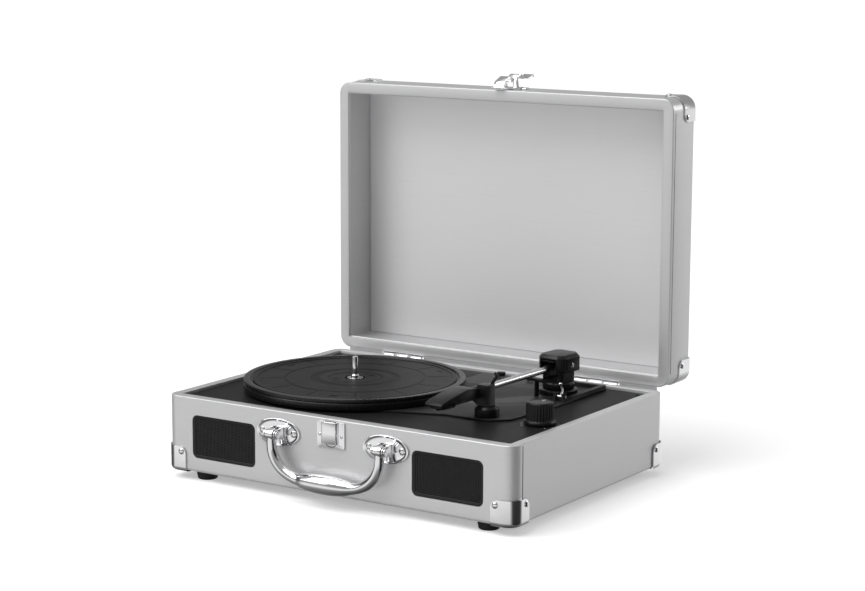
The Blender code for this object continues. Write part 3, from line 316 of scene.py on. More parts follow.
def case_ring(inset, height, lap=0.0):
    """The case's plan drawn in by an inset at a height; behind the seams it steps in by a lap."""
    radius = max(corner_radius - inset, 0.0012)
    plan = rounded_rect(2 * (half_x - inset), 2 * (half_y - inset), radius, 14)
    plan[:, 1] += middle_y
    right = plan[-1, 0]
    step = np.array([0, 0.0005, 0.0012]) + seam_y
    seam_right = np.stack([np.full(3, right), step], -1)
    seam_left = seam_right[::-1] * (-1, 1)
    plan = np.vstack([plan[:30], seam_left, plan[30:], seam_right])
    inward = np.interp(plan[:, 1], step, [0, 2 * lap, lap])
    plan[:, 0] -= np.sign(plan[:, 0]) * inward
    return np.column_stack([plan, np.full(len(plan), height)])


lap = 0.0005
low, high = base_low.z, base_high.z
profile = quarter((edge_radius, low), (0, low + edge_radius), 0)
profile += quarter((0, high - rim_radius), (rim_radius, high), 1, 3)
outside = len(profile)
profile += quarter((wall - 0.0006, high), (wall, high - 0.0006), 0, 2)
shelf = deck_low.z - gap
profile += [(wall, shelf), (wall + ledge, shelf), (wall + ledge, shelf - 0.0015),
            (wall, shelf - 0.0030), (wall, low)]
rings = np.array([case_ring(inset, z, lap if n < outside else 0)
                  for n, (inset, z) in enumerate(profile)])
shell = skin(rings, round_rows=True)
for grille in ("speaker_grille_left", "speaker_grille_right"):
    a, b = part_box(grille)
    window = rounded_rect(b.x - a.x + 2 * gap, b.z - a.z + 2 * gap, 0.005 + gap)
    window = shifted(window, (a.x + b.x) / 2, (a.z + b.z) / 2)
    shell = carved(shell, pushed(window, base_low.y - 0.002, base_low.y + wall + 0.002, "xz"))
a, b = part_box("socket_panel")
window = shifted(rounded_rect(b.x - a.x - 0.010, b.z - a.z - 0.008, 0.002),
                 (a.x + b.x) / 2, (a.z + b.z) / 2)
shell = carved(shell, pushed(window, base_high.y - wall - 0.002, base_high.y + 0.002, "xz"))
silver = leathercloth("silver_leathercloth", 0.60, 0.69)
piece("covered_base", [shell], silver, "case", "base_shell", sharp=28)


def box_mesh(low, high):
    """A straight bar between two opposite corners."""
    plan = [(low[0], low[1]), (high[0], low[1]), (high[0], high[1]), (low[0], high[1])]
    return pushed(plan, low[2], high[2])


# A near-black finish for painted shade, laid as thin strips where the seams and the keeper's pocket
# would lie in shadow.
painted_shade = Finish("painted_seam_shadow", {"Roughness": 0.7, "Specular IOR Level": 0.2}, "silver_vinyl")
painted_shade.tint(painted_shade.noise((400, 400, 400), 2.0), 0.008, 0.020)
# Thin near-black strips down each side wall along the seam: painted shadow of the lapped cloth's
# edge.
seam_shadow_strips = [box_mesh((side * (half_x - 0.0001) - 0.0002, seam_y + 0.0001, base_low.z + 0.004),
                       (side * (half_x - 0.0001) + 0.0002, seam_y + 0.0009, base_high.z - 0.0016))
              for side in (-1, 1)]
piece("case_seam_shadows", seam_shadow_strips, painted_shade, "case")

# ------------------------------------------------------------------------ base board
# A painted hardboard panel let in flush between the walls, under the works. It is held by
# staples round its edge.


def finished(node, finish):
    """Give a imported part's own object its finish."""
    for slot in frame["nodes"][node].material_slots:
        slot.material = finish.material


board = Finish("painted_board", {"Roughness": 0.75})
board.tint(board.noise((300, 300, 300)), 0.025, 0.06)
board.relief(board.noise((900, 900, 900)), 0.3, 0.0004)
finished("base_bottom", board)

# ------------------------------------------------------------------------------ feet
# Four tapered feet moulded in black rubber. A screw through the sunk hole in each sole holds
# the foot to the base board.


def turned(profile, centre, axis="z", steps=48):
    """Turn (radius, height) pairs about an axis: the radius times the angle's cosine and sine,
    about a centre. Radius 0 closes an end."""
    pairs = np.asarray(profile, float)
    turn = np.linspace(0, 2 * np.pi, steps, endpoint=False)
    grid = np.zeros((len(pairs), steps, 3))
    grid[..., 0] = pairs[:, :1] * np.cos(turn)
    grid[..., 1] = pairs[:, :1] * np.sin(turn)
    grid[..., 2] = pairs[:, 1:]
    if axis == "y":
        grid = grid[..., (0, 2, 1)] * (1, 1, -1)
    elif axis == "x":
        grid = grid[..., (2, 1, 0)] * (1, 1, -1)
    return skin(grid + np.asarray(centre, float), round_rows=pairs[0, 0] > 0)


def softened(profile, radius, steps=3):
    """Each inner corner of a run of pairs drawn as a short curve that starts a radius before it."""
    run = [np.asarray(p, float) for p in profile]
    out = [run[0]]
    share = np.linspace(0, 1, steps + 1)[:, None]
    for before, corner, after in zip(run, run[1:], run[2:]):
        reach_in = min(radius, np.linalg.norm(before - corner) * 0.45)
        reach_out = min(radius, np.linalg.norm(after - corner) * 0.45)
        start = corner + (before - corner) / np.linalg.norm(before - corner) * reach_in
        end = corner + (after - corner) / np.linalg.norm(after - corner) * reach_out
        out.extend((1 - share)**2 * start + 2 * share * (1 - share) * corner + share**2 * end)
    return out + [run[-1]]


rubber = Finish("black_rubber", {"Specular IOR Level": 0.35}, "black_rubber")
rubber.surface((500, 3.0, 0.006, 0.012), (900, 3.0, 0.5, 0.2), (1500, 3.0, 0.15, 0.0002))
for foot in ("foot_front_left", "foot_front_right", "foot_back_left", "foot_back_right"):
    a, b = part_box(foot)
    r = (b.x - a.x) / 2
    sole = softened([(0, 0.002), (0.003, 0.002), (0.0035, 0), (r - 0.0015, 0), (r, b.z),
                     (0, b.z)], 0.0009)
    piece("rubber_" + foot, [turned(sole, ((a.x + b.x) / 2, (a.y + b.y) / 2, 0))],
          rubber, "case", foot)

# --------------------------------------------------------------------- corner guards
# Pressed steel guards, nickel plated, each wrapped over the three faces of a corner and held
# by a domed nail in each of its three lobes.

chrome = Finish("bright_plate", {"Metallic": 1.0, "Base Color": (0.84, 0.84, 0.85, 1)}, "chrome")
smear = chrome.noise((70, 70, 70), 3.0)
scratch = chrome.noise((60, 60, 2600), 2.0)
chrome.use("Roughness", 0.05 + smear * 0.10 + (scratch > 0.68) * 0.05)
chrome.relief(smear, 0.03, 0.002)
guard_sheet = 0.0011


def eased(mesh, width, segments=2, sharp=35):
    """Round every edge sharper than an angle."""
    return evaluated(mesh, "BEVEL", width=width, segments=segments, limit_method="ANGLE",
                     angle_limit=math.radians(sharp))


def put(mesh, matrix):
    """Move and turn a mesh's points by a matrix."""
    mesh.transform(matrix)
    return mesh


def turned_to(direction, place):
    """The placing that stands a shape drawn along +Z on a place, facing a direction."""
    turn = Vector(direction).to_track_quat("Z", "Y").to_matrix().to_4x4()
    return Matrix.Translation(Vector(place)) @ turn


def head(radius, height, direction, place, slot=""):
    """A domed head as a polar grid, its height the root of 1 less the squared radius; a cross
    or a line is sunk where its arms pass."""
    share = np.concatenate([np.linspace(0, 0.8, 9), [0.88, 0.94, 0.98, 1.0, 1.0]])
    turn = np.linspace(0, 2 * np.pi, 48, endpoint=False)
    x = radius * share[:, None] * np.cos(turn)
    y = radius * share[:, None] * np.sin(turn)
    dome = height * np.sqrt(np.clip(1 - (share[:, None] * 0.92)**2, 0, 1)) + 0 * x
    dome[-1] = -0.0004
    arm = 0.16 * radius
    reach = 0.6 * radius
    sunk = (np.abs(x) < arm) & (np.abs(y) < reach * (1 if slot else 0))
    if slot == "cross":
        sunk |= (np.abs(y) < arm) & (np.abs(x) < reach)
    dome[:-1] -= 0.45 * height * sunk[:-1]
    return put(skin(np.stack([x, y, dome], -1), caps="rows"), turned_to(direction, place))


def guard(fx, fy, flat, way):
    """A sheet over the case's corner: both skins of a curved wrap, trimmed to its round lobes."""
    box_low, box_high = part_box("base_guard_front_left")
    reach = box_high.x - box_low.x - guard_sheet - gap
    far = reach + 0.004
    skins = []
    for grow in (gap, gap + guard_sheet):
        rise = [(far, flat - way * grow)]
        rise += quarter((edge_radius, flat - way * grow), (-grow, flat + way * edge_radius), 0, 8)
        rise += [(-grow, flat + way * far)]
        rows = []
        for inset, z in rise:
            r = max(corner_radius - inset, 0.0012)
            turn = np.linspace(0, np.pi / 2, 17)
            x = half_x - inset - r + r * np.sin(turn)
            y = half_y - inset - r + r * np.cos(turn)
            x = np.concatenate([[half_x - 2 * far], x, [half_x - inset]])
            y = np.concatenate([[half_y - inset], y, [half_y - 2 * far]])
            rows.append(np.stack([fx * x, fy * y + middle_y, np.full(len(x), z)], -1))
        skins.append(np.array(rows))
    sheet = skin(np.concatenate([skins[0], skins[1][::-1]]), round_rows=True,
                 round_columns=False, caps="columns")
    cube = bmesh.new()
    bmesh.ops.create_cube(cube, size=2 * reach)
    bmesh.ops.translate(cube, verts=cube.verts, vec=(fx * half_x, middle_y + fy * half_y, flat))
    trim = bpy.data.meshes.new("trim")
    cube.to_mesh(trim)
    cube.free()
    sheet = carved(sheet, eased(trim, 0.007, 8), "INTERSECT")
    out = gap + guard_sheet
    lobe = reach - 0.0046
    corner = Vector((fx * half_x, middle_y + fy * half_y, flat))
    nails = [head(0.0026, 0.0014, (0, fy, 0), corner + Vector((-fx * lobe, fy * out, way * lobe))),
             head(0.0026, 0.0014, (fx, 0, 0), corner + Vector((fx * out, -fy * lobe, way * lobe))),
             head(0.0026, 0.0009, (0, 0, -way),
                  corner + Vector((-fx * lobe, -fy * lobe, -way * out)))]
    return [sheet, *nails]


corners = {"front_left": (-1, -1), "front_right": (1, -1), "back_left": (-1, 1),
           "back_right": (1, 1)}
for corner_name, (fx, fy) in corners.items():
    piece("plated_base_guard_" + corner_name, guard(fx, fy, base_low.z, 1), chrome,
          "case", "base_guard_" + corner_name)

# -------------------------------------------------------------------------- speakers
# Two small speakers behind black perforated steel grilles, each grille in a moulded bezel
# that sits in its window in the front wall.

mesh_black = Finish("black_mesh", {"Metallic": 0.2, "Roughness": 0.4,
                                   "Specular IOR Level": 0.35}, "black_grille")
mesh_black.tint(mesh_black.noise((200, 200, 200)), 0.010, 0.020)
paper = Finish("cone_paper", {"Roughness": 0.9})
paper.tint(paper.noise((700, 700, 700)), 0.003, 0.006)
pitch = 0.0015


def perforated(width, height, front, thickness):
    """Square cells in staggered rows, each with an eight-sided hole and its wall."""
    columns, rows = int(width / pitch), int(height / (pitch * 0.9))
    step_x, step_z = width / columns, height / rows
    turn = np.arange(8) * np.pi / 4
    edge = np.stack([np.cos(turn), np.sin(turn)], -1)
    edge /= np.abs(edge).max(1, keepdims=True)
    outer = edge * (step_x / 2, step_z / 2)
    inner = np.stack([np.cos(turn), np.sin(turn)], -1) * pitch * 0.33
    ring = np.zeros((24, 3))
    ring[:8, (0, 2)] = outer
    ring[8:16, (0, 2)] = inner
    ring[16:, (0, 2)] = inner
    ring[:16, 1] = front
    ring[16:, 1] = front + thickness
    j, i = np.meshgrid(np.arange(rows), np.arange(columns), indexing="ij")
    centre = np.stack([(i + 0.5) * step_x - width / 2, 0 * i,
                       (j + 0.5) * step_z - height / 2], -1).reshape(-1, 1, 3)
    points = (centre + ring).reshape(-1, 3)
    k = np.arange(8)
    n = (k + 1) % 8
    cell = np.vstack([np.stack([k, n, n + 8, k + 8], -1), np.stack([k, n, n + 8, k + 8], -1) + 8])
    faces = (np.arange(len(centre))[:, None, None] * 24 + cell).reshape(-1, 4)
    mesh = bpy.data.meshes.new("perforated")
    mesh.from_pydata(points.tolist(), [], faces.tolist())
    return mesh


for side in ("left", "right"):
    a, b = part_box("speaker_grille_" + side)
    width, height = b.x - a.x, b.z - a.z
    centre = ((a.x + b.x) / 2, 0, (a.z + b.z) / 2)
    sheet = put(perforated(width - 0.005, height - 0.005, a.y + 0.0006, 0.0006),
                Matrix.Translation(Vector(centre)))
    rows = []
    for inset, depth in ((0, 0.0015), (0, 0.0002), (0.0002, 0), (0.0016, 0), (0.0024, 0.0004),
                         (0.0028, 0.0011), (0.0028, 0.0015)):
        plan = shifted(rounded_rect(width - 2 * inset, height - 2 * inset,
                                    max(0.005 - inset, 0.001)), centre[0], centre[2])
        rows.append(np.column_stack([plan[:, 0], np.full(len(plan), a.y + depth), plan[:, 1]]))
    bezel = skin(np.array(rows), round_rows=True)
    piece("perforated_grille_" + side, [sheet, bezel], mesh_black, "case", "speaker_grille_" + side)
    finished("speaker_" + side, paper)

# ------------------------------------------------------------------------------ deck
# A deck moulded in satin black plastic, laid on the ledge inside the case and fastened by a
# black screw near each corner. The raised plate on it carries the works.

deck_black = Finish("satin_black", {"Specular IOR Level": 0.07})
deck_black.surface((5, 2.0, 0.011, 0.017), (1200, 2.0, 0.36, 0.16), (1700, 2.0, 0.12, 0.0002))
finished("deck_plate", deck_black)

black = Finish("black_moulding", {"Specular IOR Level": 0.30}, "black_plastic")
black.surface((90, 2.0, 0.006, 0.010), (500, 2.0, 0.24, 0.14), (1400, 2.0, 0.08, 0.0002))
screws = [head(0.0026, 0.0009, (0, 0, 1), (sx * (deck_high.x - 0.0072),
                                           middle_y + sy * (half_y - 0.0175), deck_high.z), "cross")
          for sx in (-1, 1) for sy in (-1, 1)]
piece("deck_screws", screws, black, "case")


def polished(node, width, segments=2):
    """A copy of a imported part, its triangles merged into faces and its edges rounded."""
    bm = bmesh.new()
    bm.from_mesh(frame["nodes"][node].data)
    bmesh.ops.remove_doubles(bm, verts=bm.verts, dist=2e-6)
    bmesh.ops.dissolve_limit(bm, angle_limit=math.radians(1.5), verts=bm.verts, edges=bm.edges)
    mesh = bpy.data.meshes.new(node)
    bm.to_mesh(mesh)
    bm.free()
    return eased(mesh, width, segments)


plate_grey = Finish("dark_plate", {"Specular IOR Level": 0.16}, "dark_plate")
plate_grey.surface((6, 2.0, 0.016, 0.024), (1000, 2.0, 0.30, 0.16), (1500, 2.0, 0.1, 0.0002))
piece("moulded_mechanism_plate", [polished("mechanism_plate", 0.0004)], plate_grey,
      "case", "mechanism_plate")

# ----------------------------------------------------------------------------- drive
# A small motor hung under the plate turns a brass pulley, and a flat rubber belt runs from it
# round the rim under the platter.

steel = Finish("drawn_steel", {"Metallic": 1.0}, "brushed_metal")
steel.tint(steel.noise((40, 40, 900), 3.0), 0.50, 0.66)
steel.use("Roughness", 0.16 + steel.noise((30, 30, 700), 2.0) * 0.14)
steel.relief(steel.noise((60, 60, 1500), 2.0), 0.05, 0.0003)
brass = Finish("turned_brass", {"Metallic": 1.0, "Base Color": (0.72, 0.50, 0.22, 1)}, "brass")
brass.use("Roughness", 0.18 + brass.noise((80, 80, 1200), 2.0) * 0.2)
brass.relief(brass.noise((80, 80, 1800), 2.0), 0.05, 0.0003)
circuit = Finish("green_board", {"Roughness": 0.4})
tracks = circuit.noise((260, 90, 1), 1.0)
trace = {0: (abs(tracks - 0.5) < 0.03), 6: (0.02, 0.13, 0.05, 1), 7: (0.05, 0.24, 0.11, 1)}
circuit.use("Base Color", circuit.node("Mix", {"data_type": "RGBA"}, trace, 2))
for node, finish in (("motor", steel), ("motor_pulley", brass), ("platter_bush", brass),
                     ("drive_belt", rubber), ("potentiometer", steel), ("circuit_board", circuit)):
    finished(node, finish)

# --------------------------------------------------------------------------- platter
# A moulded platter with a raised lip, and on it a ribbed rubber mat with a sunk label ring.
# The steel spindle stands fixed through the middle.

joint_place = {joint["name"]: Vector(joint.get("pos_m") or (0, 0, 0)) for joint in frame["joints"]}
hub = joint_place["platter_spin"]
a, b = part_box("platter")
radius = (b.x - a.x) / 2
top, skirt = b.z, a.z
mat_low, mat_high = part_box("platter_mat")
mat_radius = (mat_high.x - mat_low.x) / 2
seat = mat_low.z - gap
body_profile = softened([(0.010, seat - 0.0022), (radius - 0.003, seat - 0.0022),
                         (radius - 0.003, skirt), (radius, skirt), (radius, skirt + 0.0052),
                         (radius - 0.0006, skirt + 0.0058), (radius, skirt + 0.0064),
                         (radius, top), (radius - 0.0058, top), (radius - 0.0066, seat),
                         (0.010, seat)], 0.0007)
platter_black = Finish("platter_moulding", {"Specular IOR Level": 0.35}, "black_plastic")
platter_black.surface((40, 2.0, 0.006, 0.010), (300, 2.0, 0.22, 0.12), (900, 2.0, 0.05, 0.0002))
under = softened([(0.042, skirt + 0.0004), (0.045, skirt + 0.0004), (0.045, seat - 0.0020),
                  (0.042, seat - 0.0020)], 0.0004)
piece("moulded_platter", [turned(body_profile, (hub.x, hub.y, 0), steps=180),
                          turned(under, (hub.x, hub.y, 0), steps=90)],
      platter_black, "platter", "platter")

mat_black = Finish("ribbed_mat", {"Specular IOR Level": 0.15}, "platter_mat")
depth = mat_black.node("SeparateXYZ", {}, {"Vector": mat_black.spot()}, 2)
# Everything sunk below the mat's face (grooves, ribs, notches, label ring) gets the darkest tone:
# painted shade in the recesses.
painted_groove_shade = depth < mat_high.z - 0.00078
mat_black.tint(mat_black.noise((60, 60, 60), 3.0) * (1 - painted_groove_shade), 0.003, 0.022)
mat_black.use("Roughness", 0.36 + mat_black.noise((700, 700, 700), 2.0) * 0.16)
mat_black.relief(mat_black.noise((1300, 1300, 1300), 2.0), 0.16, 0.0002)


def dip(value, centre, half):
    """A smooth notch of depth 1 about a centre, gone at half its width to either side."""
    return np.clip(1 - (np.abs(value - centre) / half)**2, 0, 1)


def mat_surface():
    """Height over radius and angle: a flat ring with grooves, ribs, notches and a sunk label."""
    r = np.unique(np.concatenate([np.linspace(0.009, mat_radius, 46),
                                  0.0862 + np.linspace(-0.0002, 0.0010, 5),
                                  0.0355 + np.linspace(-0.0050, 0.0050, 15),
                                  0.0620 + np.linspace(-0.0012, 0.0012, 9),
                                  0.0230 + np.linspace(-0.0011, 0.0011, 7),
                                  0.0795 + np.linspace(-0.0022, 0.0022, 9),
                                  mat_radius - np.linspace(0, 0.0012, 5)]))[:, None]
    turn = np.linspace(0, 2 * np.pi, 540, endpoint=False)[None, :]
    z = mat_high.z - 0.0007 * (1 - np.clip((r - 0.0862) / 0.0008, 0, 1)) + 0 * turn
    z = z - 0.00036 * dip(r, 0.0355, 0.0050) - 0.00030 * dip(r, 0.0230, 0.0011)
    z = z - 0.00034 * dip(r, 0.0620, 0.0012)
    sector = (turn * 12 / (2 * np.pi) + 0.3) % 1 - 0.5
    rib = dip(sector * 2 * np.pi / 12 * r, 0, 0.0011)
    z = z - 0.00034 * rib * (r > 0.0640) * (r < 0.0850)
    third = (turn * 3 / (2 * np.pi) + 0.067) % 1 - 0.5
    across = third * 2 * np.pi / 3 * r
    z = z - 0.00036 * (np.abs(across) < 0.0038) * (np.abs(r - 0.0795) < 0.0018)
    key = (turn * 2 / (2 * np.pi) + 0.2) % 1 - 0.5
    z = z - 0.00034 * (np.abs(key * np.pi * r) < 0.0042) * (np.abs(r - 0.0165) < 0.0018)
    z = z - 0.0005 * np.clip((r - mat_radius + 0.0006) / 0.0006, 0, 1)
    grid = np.stack([hub.x + r * np.cos(turn), hub.y + r * np.sin(turn), z], -1)
    sole = grid[[-1, 0]].copy()
    sole[..., 2] = mat_low.z
    return np.concatenate([grid, sole])


piece("ribbed_platter_mat", [skin(mat_surface(), round_rows=True)], mat_black, "platter",
      "platter_mat", sharp=40)
a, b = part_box("spindle")
pin_radius = 0.0036
neck_radius, tip_radius = pin_radius * 0.74, pin_radius * 0.64
pin = [(0, a.z), (pin_radius, a.z), (pin_radius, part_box("mechanism_plate")[1].z),
       (pin_radius, mat_high.z + 0.0014), (neck_radius, mat_high.z + 0.0026),
       (neck_radius, b.z - 0.0016), (tip_radius, b.z - 0.0007),
       (pin_radius * 0.36, b.z - 0.0001), (0, b.z)]
washer = softened([(pin_radius + 0.0001, seat - 0.0006), (0.0072, seat - 0.0006),
                   (0.0072, seat + 0.0009), (pin_radius + 0.0004, seat + 0.0011)], 0.0003)
piece("steel_spindle", [turned(pin, (hub.x, hub.y, 0))], chrome, "case", "spindle")
piece("bush_flange", [turned(washer, (hub.x, hub.y, 0))], steel, "platter")

# --------------------------------------------------------------------------- arm mount
# A fixed collar on the plate, then the turret that swings on it: a moulded block with chamfered
# corners, open in front where the tube passes between its cheeks.

pivot = joint_place["arm_lift"]
park = math.radians(-6.5)
arm_place = Matrix.Translation(Vector((pivot.x, pivot.y, 0))) @ Matrix.Rotation(park, 4, "Z")
plate_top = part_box("speed_switch")[0].z - gap


def stacked(rows):
    """A solid through outlines at rising heights: (outline, height) pairs of equal length."""
    grid = np.array([np.column_stack([outline, np.full(len(outline), z)]) for outline, z in rows])
    return skin(grid, caps="rows")


collar_low, collar_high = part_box("arm_collar")
r = (collar_high.x - collar_low.x) / 2
ring = softened([(0.0063, collar_low.z), (r, collar_low.z), (r, collar_high.z - 0.0008),
                 (r - 0.0020, collar_high.z), (0.0063, collar_high.z)], 0.0006)
piece("turned_arm_collar", [turned(ring, (pivot.x, pivot.y, 0), steps=72)], black, "case",
      "arm_collar")

yoke_low, yoke_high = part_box("arm_yoke")
disc = collar_high.z + gap
turret = softened([(0, yoke_low.z), (0.006, yoke_low.z), (0.006, disc), (0.014, disc),
                   (0.014, disc + 0.0045), (0.0125, disc + 0.006), (0, disc + 0.006)], 0.0006)
half, front, back = 0.014, 0.015, 0.017
chamfer = 0.005


def block_plan(inset):
    """The block's plan, its corners cut off, drawn in by an inset."""
    w, f, k, c = half - inset, front - inset, back - inset, chamfer - inset * 0.4
    return [(-w, -f + c), (-w + c, -f), (w - c, -f), (w, -f + c), (w, k - c), (w - c, k),
            (-w + c, k), (-w, k - c)]


crown = yoke_high.z
housing = stacked([(block_plan(0.0005), pivot.z - 0.004), (block_plan(0), pivot.z - 0.0034),
                   (block_plan(0), crown - 0.0028), (block_plan(0.0024), crown)])
neck = stacked([(rounded_rect(0.022, 0.022, 0.004), disc + 0.004),
                (rounded_rect(0.022, 0.022, 0.004), pivot.z - 0.003)])
channel = box_mesh((-0.008, -0.025, pivot.z - 0.011), (0.008, 0.025, crown - 0.004))
housing = eased(carved(housing, channel), 0.0005, 2, 28)
neck = carved(neck, channel)
inset_plate = put(eased(pushed(rounded_rect(0.017, 0.0105, 0.0012, 3), 0, 0.0007), 0.0002),
                  Matrix.Translation(Vector((half, 0.001, pivot.z + 0.0035)))
                  @ Matrix.Rotation(math.pi / 2, 4, "Z") @ Matrix.Rotation(math.pi / 2, 4, "X"))
ridge = eased(box_mesh((-0.0065, -front - 0.0008, crown - 0.0062),
                       (0.0065, -front + 0.001, crown - 0.0046)), 0.0003)
yoke_parts = [turned(turret, (0, 0, 0), steps=64), housing, neck,
              inset_plate, ridge]
piece("moulded_arm_yoke", [put(part, arm_place) for part in yoke_parts], black,
      "arm_turret", "arm_yoke")
pivot_screws = [put(head(0.0024, 0.0009, (1, 0, 0), (half + 0.0006, 0, pivot.z + 0.002), "line"),
                    arm_place),
                put(head(0.0024, 0.0009, (-1, 0, 0), (-half, 0, pivot.z), "line"), arm_place)]
piece("arm_pivot_screws", pivot_screws, steel, "arm_turret")

# -------------------------------------------------------------------------- tone arm
# A drawn steel tube on its cross pin, a turned counterweight behind, and ahead a moulded
# headshell with a finger lift, its cartridge and stylus below.

tube_length = 0.126
tube_radius = 0.003
droop = 0.032


def along_tube(distance):
    """The point of the tube's axis this far ahead of its pivot, sunk by the droop's share."""
    return Vector((0, -distance, pivot.z - droop * distance))


def bar(start, end, profile, steps=32):
    """A turned bar from start to end: (radius, share of the way) pairs."""
    line = end - start
    pairs = [(r, share * line.length) for r, share in profile]
    return put(turned(pairs, (0, 0, 0), steps=steps), turned_to(line, start))


tube = bar(along_tube(-0.008), along_tube(tube_length),
           [(0, 0), (tube_radius - 0.0004, 0), (tube_radius, 0.003), (tube_radius, 0.997),
            (tube_radius - 0.0004, 1), (0, 1)])
cross = turned([(0, -0.012), (0.002, -0.012), (0.002, 0.012), (0, 0.012)], (0, 0, pivot.z), "x")
piece("drawn_arm_tube", [put(tube, arm_place), put(cross, arm_place)], steel, "tonearm", "arm_tube")
ferrules = [bar(along_tube(0.0178), along_tube(0.0208),
                softened([(0, 0), (0.0036, 0), (0.0036, 1), (0, 1)], 0.0004)),
            bar(along_tube(tube_length - 0.013), along_tube(tube_length - 0.0045),
                softened([(0, 0), (0.0041, 0), (0.0041, 1), (0, 1)], 0.0006))]
piece("arm_ferrules", [put(part, arm_place) for part in ferrules], black, "tonearm")
weight = softened([(0, 0.0083), (0.0062, 0.0083), (0.0062, 0.0180), (0.0056, 0.0185),
                   (0.0062, 0.0190), (0.0062, 0.0213), (0, 0.0213)], 0.0006)
piece("turned_counterweight", [put(turned(weight, (0, 0, pivot.z + 0.0002), "y"), arm_place)],
      black, "tonearm", "counterweight")

rear = tube_length - 0.004
share = np.linspace(0, 1, 9)
blade_line = np.column_stack([0.009 + 0.008 * share, 0.0010 + 0.0030 * share**2])
blade = np.vstack([blade_line + (0, 0.0006), blade_line[::-1] - (0, 0.0002)])
floor_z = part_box("headshell")[0].z
finger = pushed(blade, -rear - 0.034, -rear - 0.028, "xz")
finger = eased(put(finger, Matrix.Translation(Vector((0, 0, floor_z)))), 0.0003)
piece("moulded_headshell", [polished("headshell", 0.0006, 3), put(finger, arm_place)],
      black, "tonearm", "headshell")
piece("moulded_cartridge", [polished("cartridge", 0.0003)], black, "tonearm", "cartridge")
piece("stylus_holder", [polished("stylus", 0.0001)], steel, "tonearm", "stylus")

# -------------------------------------------------------------------------- arm rest
# A moulded black post on a round base, screwed down from below. The tube lies in its saddle
# and a hooked clip swings over it.

rest_side = Vector((0.0105, -0.114, 0))
base_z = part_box("arm_rest")[0].z
flange = softened([(0, base_z), (0.0105, base_z), (0.0105, base_z + 0.0055),
                   (0.0088, base_z + 0.0085), (0, base_z + 0.0085)], 0.0012, 4)
piece("moulded_arm_rest", [polished("arm_rest", 0.0006, 3),
                           put(turned(flange, rest_side, steps=64), arm_place)],
      black, "case", "arm_rest")
piece("moulded_arm_clip", [polished("arm_clip", 0.0003)], black, "arm_clip", "arm_clip")

# ----------------------------------------------------------------------------- cueing
# A lever bent from steel wire turns between two ears of the plate. It raises a curved moulded
# bar, which lifts the tube.


def swept(path, radii, steps=20):
    """A round bar along a path: at each point a circle square to the path, its frame carried on."""
    path = np.asarray(path, float)
    along = np.gradient(path, axis=0)
    along /= np.linalg.norm(along, axis=1, keepdims=True)
    side = np.cross(along[0], (0.0, 1.0, 0.0) if abs(along[0][1]) < 0.9 else (1.0, 0.0, 0.0))
    turn = np.linspace(0, 2 * np.pi, steps, endpoint=False)[:, None]
    rows = []
    for place, way, r in zip(path, along, radii):
        side = side - way * (side @ way)
        side = side / np.linalg.norm(side)
        rows.append(place + r * (np.cos(turn) * side + np.sin(turn) * np.cross(way, side)))
    return skin(np.array(rows), caps="rows")


def flowing(knots, count):
    """Even points on the cubic curve that passes through every knot, its slope at each knot
    half the way from the knot before to the knot after."""
    knots = np.asarray(knots, float)
    padded = np.vstack([knots[:1], knots, knots[-1:]])
    t = np.linspace(0, len(knots) - 1, count + 1)
    n = np.minimum(t.astype(int), len(knots) - 2)
    t = (t - n)[:, None]
    a, b, c, d = (padded[n + k] for k in range(4))
    return 0.5 * (2 * b + (c - a) * t + (2 * a - 5 * b + 4 * c - d) * t**2
                  + (3 * b - 3 * c + d - a) * t**3)


lever = joint_place["cue_lever_turn"]
wire = flowing([lever, lever + Vector((-0.001, 0.006, 0.0035)),
                lever + Vector((-0.005, 0.011, 0.0060)),
                lever + Vector((-0.009, 0.016, 0.0070))], 24)
axle = turned([(0, -0.0058), (0.0015, -0.0058), (0.0015, 0.0058), (0, 0.0058)], lever, "x")
tip_ball = turned(softened([(0, -0.0017), (0.0015, -0.0015), (0.0017, 0), (0.0015, 0.0015),
                            (0, 0.0017)], 0.0006), wire[-1], "x", 24)
piece("bent_cue_lever", [swept(wire, np.full(len(wire), 0.0010)), axle, tip_ball], steel,
      "cue_lever", "cue_lever")
piece("moulded_cue_platform", [polished("cue_platform", 0.0005, 3)], black,
      "cue_platform", "cue_platform")

# ---------------------------------------------------------------------- volume knob
# A fluted knob moulded in black plastic with a flange at its foot, pushed onto its shaft. A
# white pointer line is printed across its top.

knob = joint_place["volume_turn"]
knob_low, knob_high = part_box("volume_knob")
ribs = 30


def fluted(rows):
    """Rows of (radius, height, flute): the radius dips by the flute times half of 1 less the
    cosine of the angle times the number of ribs."""
    turn = np.linspace(0, 2 * np.pi, ribs * 8, endpoint=False)
    dips = 0.5 - 0.5 * np.cos(turn * ribs)
    grid = [np.stack([knob.x + (r - f * dips) * np.cos(turn),
                      knob.y + (r - f * dips) * np.sin(turn), np.full(len(turn), z)], -1)
            for r, z, f in rows]
    return skin(np.array(grid), caps="rows")


